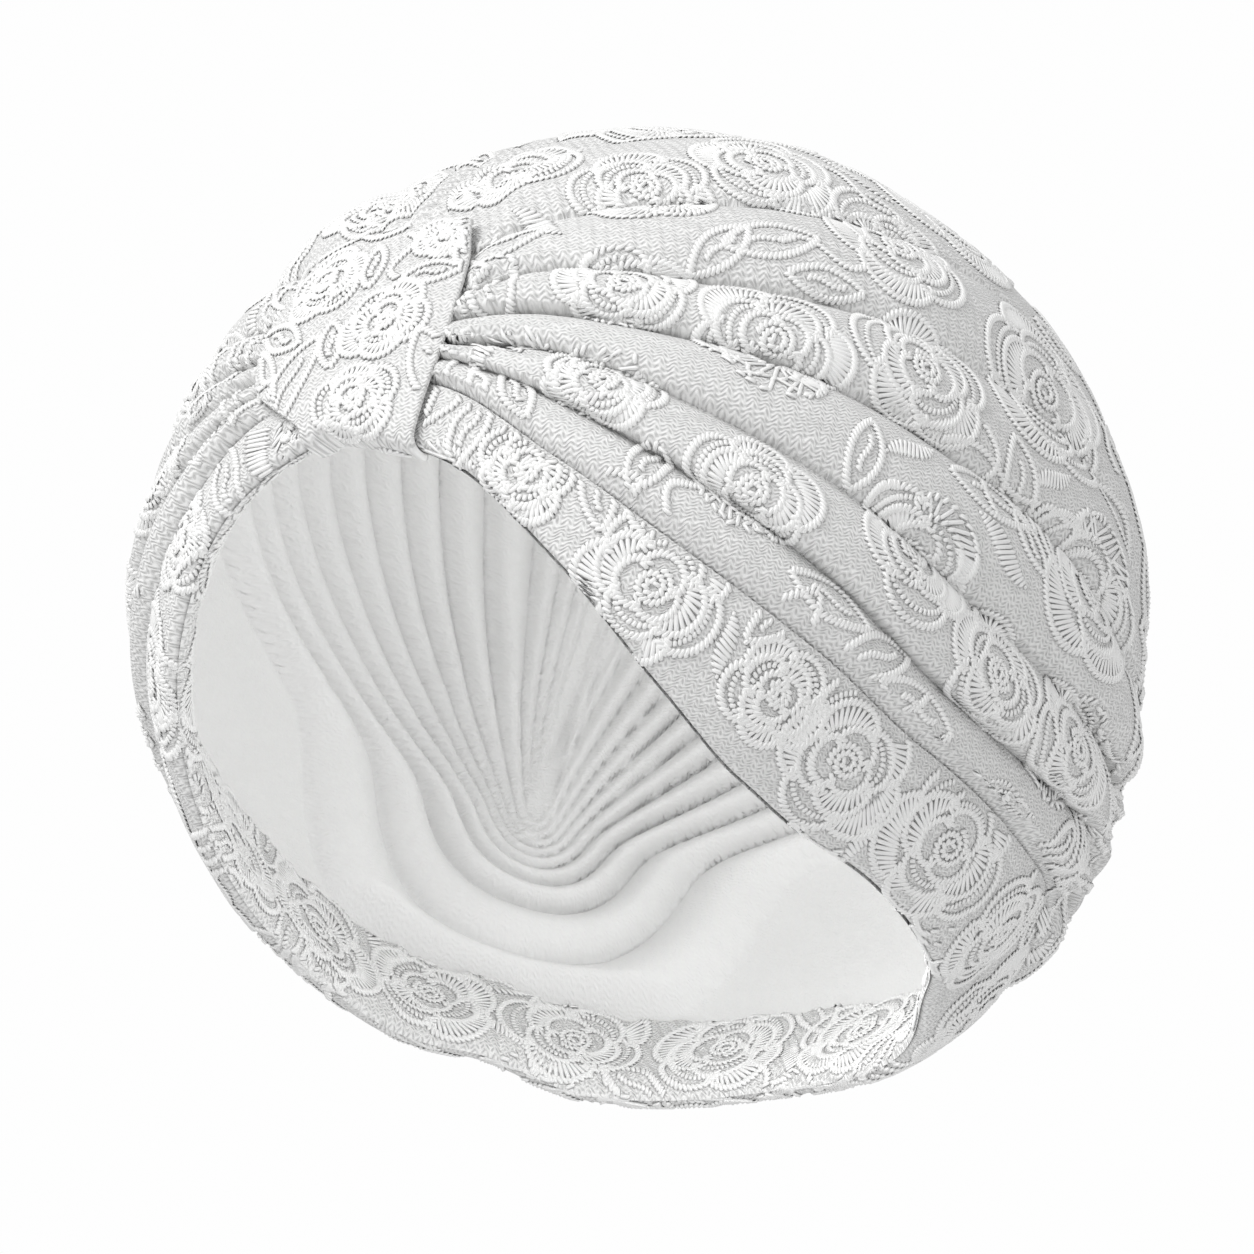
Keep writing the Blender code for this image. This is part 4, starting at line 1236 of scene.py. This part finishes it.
class HEADWRAP_OT_set_stage(bpy.types.Operator):
    """Set the floor, the light and the camera"""
    bl_idname = "headwrap.set_stage"
    bl_label = "Stage"

    def execute(self, context):
        scene = context.scene
        bpy.ops.object.select_all(action="DESELECT")
        bpy.ops.mesh.primitive_plane_add(size=FLOOR_SIZE, location=(0, 0, FLOOR_LEVEL))
        floor = context.object
        floor.name = "floor"
        floor.data.transform(Matrix.Translation((0, 0, FLOOR_LEVEL)))
        floor.location = (0, 0, 0)
        paint = bpy.data.materials.new("floor")
        paint.use_nodes = True
        surface = paint.node_tree.nodes["Principled BSDF"].inputs
        surface["Base Color"].default_value = tuple(scene.headwrap_colours.floor)
        surface["Roughness"].default_value = FLOOR_ROUGHNESS
        floor.data.materials.append(paint)

        right, up, back = view_axes()
        for name, place, size, power in LAMPS:
            light = bpy.data.lights.new(name, "AREA")
            light.size = size
            light.energy = power
            lamp = bpy.data.objects.new(name, light)
            lamp.matrix_world = aimed(as_seen(place))
            scene.collection.objects.link(lamp)
        glow = bpy.data.lights.new("hollow", "POINT")
        glow.energy = HOLLOW_POWER
        glow.shadow_soft_size = HOLLOW_SIZE
        lamp = bpy.data.objects.new("hollow", glow)
        lamp.location = as_seen(HOLLOW_PLACE)
        lamp.visible_camera = False
        scene.collection.objects.link(lamp)

        world = bpy.data.worlds.new("soft light")
        scene.world = world
        world.use_nodes = True
        tree = world.node_tree
        tree.nodes.clear()
        lit = node(tree, "ShaderNodeBackground", Color=(1, 1, 1, 1), Strength=SKY_LIGHT)
        seen = node(tree, "ShaderNodeBackground", Color=BACKDROP, Strength=1.0)
        rays = node(tree, "ShaderNodeLightPath")
        mix = node(tree, "ShaderNodeMixShader")
        out = node(tree, "ShaderNodeOutputWorld")
        tree.links.new(rays.outputs["Is Camera Ray"], mix.inputs[0])
        tree.links.new(lit.outputs[0], mix.inputs[1])
        tree.links.new(seen.outputs[0], mix.inputs[2])
        tree.links.new(mix.outputs[0], out.inputs[0])

        lens = bpy.data.cameras.new("camera")
        lens.sensor_width = SENSOR
        lens.lens = SENSOR * VIEW_SCALE * VIEW_DISTANCE / VIEW_PIXELS
        lens.shift_x = (VIEW_PIXELS / 2 - VIEW_MIDDLE[0]) / VIEW_PIXELS
        lens.shift_y = (VIEW_MIDDLE[1] - VIEW_PIXELS / 2) / VIEW_PIXELS
        camera = bpy.data.objects.new("camera", lens)
        turn = Matrix((right, up, back)).transposed().to_4x4()
        camera.matrix_world = Matrix.Translation(back * VIEW_DISTANCE) @ turn
        scene.collection.objects.link(camera)
        scene.camera = camera
        scene.view_settings.view_transform = "Standard"
        return {"FINISHED"}


class HEADWRAP_PT_panel(bpy.types.Panel):
    """Lists the steps that make the headwrap"""
    bl_idname = "HEADWRAP_PT_panel"
    bl_label = "Headwrap"
    bl_space_type = "VIEW_3D"
    bl_region_type = "UI"
    bl_category = "Headwrap"

    def draw(self, context):
        for group in (context.scene.headwrap_sizes, context.scene.headwrap_colours):
            for key in group.__annotations__:
                self.layout.prop(group, key)
        for step in STEPS:
            self.layout.operator(step.bl_idname)


STEPS = (HEADWRAP_OT_make_crown, HEADWRAP_OT_make_lining, HEADWRAP_OT_make_band,
         HEADWRAP_OT_make_knot, HEADWRAP_OT_make_gathers, HEADWRAP_OT_set_stage)
CLASSES = (HeadwrapSizes, HeadwrapColours) + STEPS + (HEADWRAP_PT_panel,)


def register():
    """Register the classes and put the sizes and colours on the scene."""
    for each in CLASSES:
        bpy.utils.register_class(each)
    bpy.types.Scene.headwrap_sizes = PointerProperty(type=HeadwrapSizes)
    bpy.types.Scene.headwrap_colours = PointerProperty(type=HeadwrapColours)


def unregister():
    """Take the classes and the scene's properties away again."""
    del bpy.types.Scene.headwrap_sizes
    del bpy.types.Scene.headwrap_colours
    for each in reversed(CLASSES):
        bpy.utils.unregister_class(each)


def main():
    """Make the whole headwrap on its stage."""
    register()
    bpy.ops.object.select_all(action="DESELECT")
    bpy.ops.headwrap.make_crown()
    bpy.ops.headwrap.make_lining()
    bpy.ops.headwrap.make_band()
    bpy.ops.headwrap.make_knot()
    bpy.ops.headwrap.make_gathers()
    bpy.ops.headwrap.set_stage()


if __name__ == "__main__":
    main()
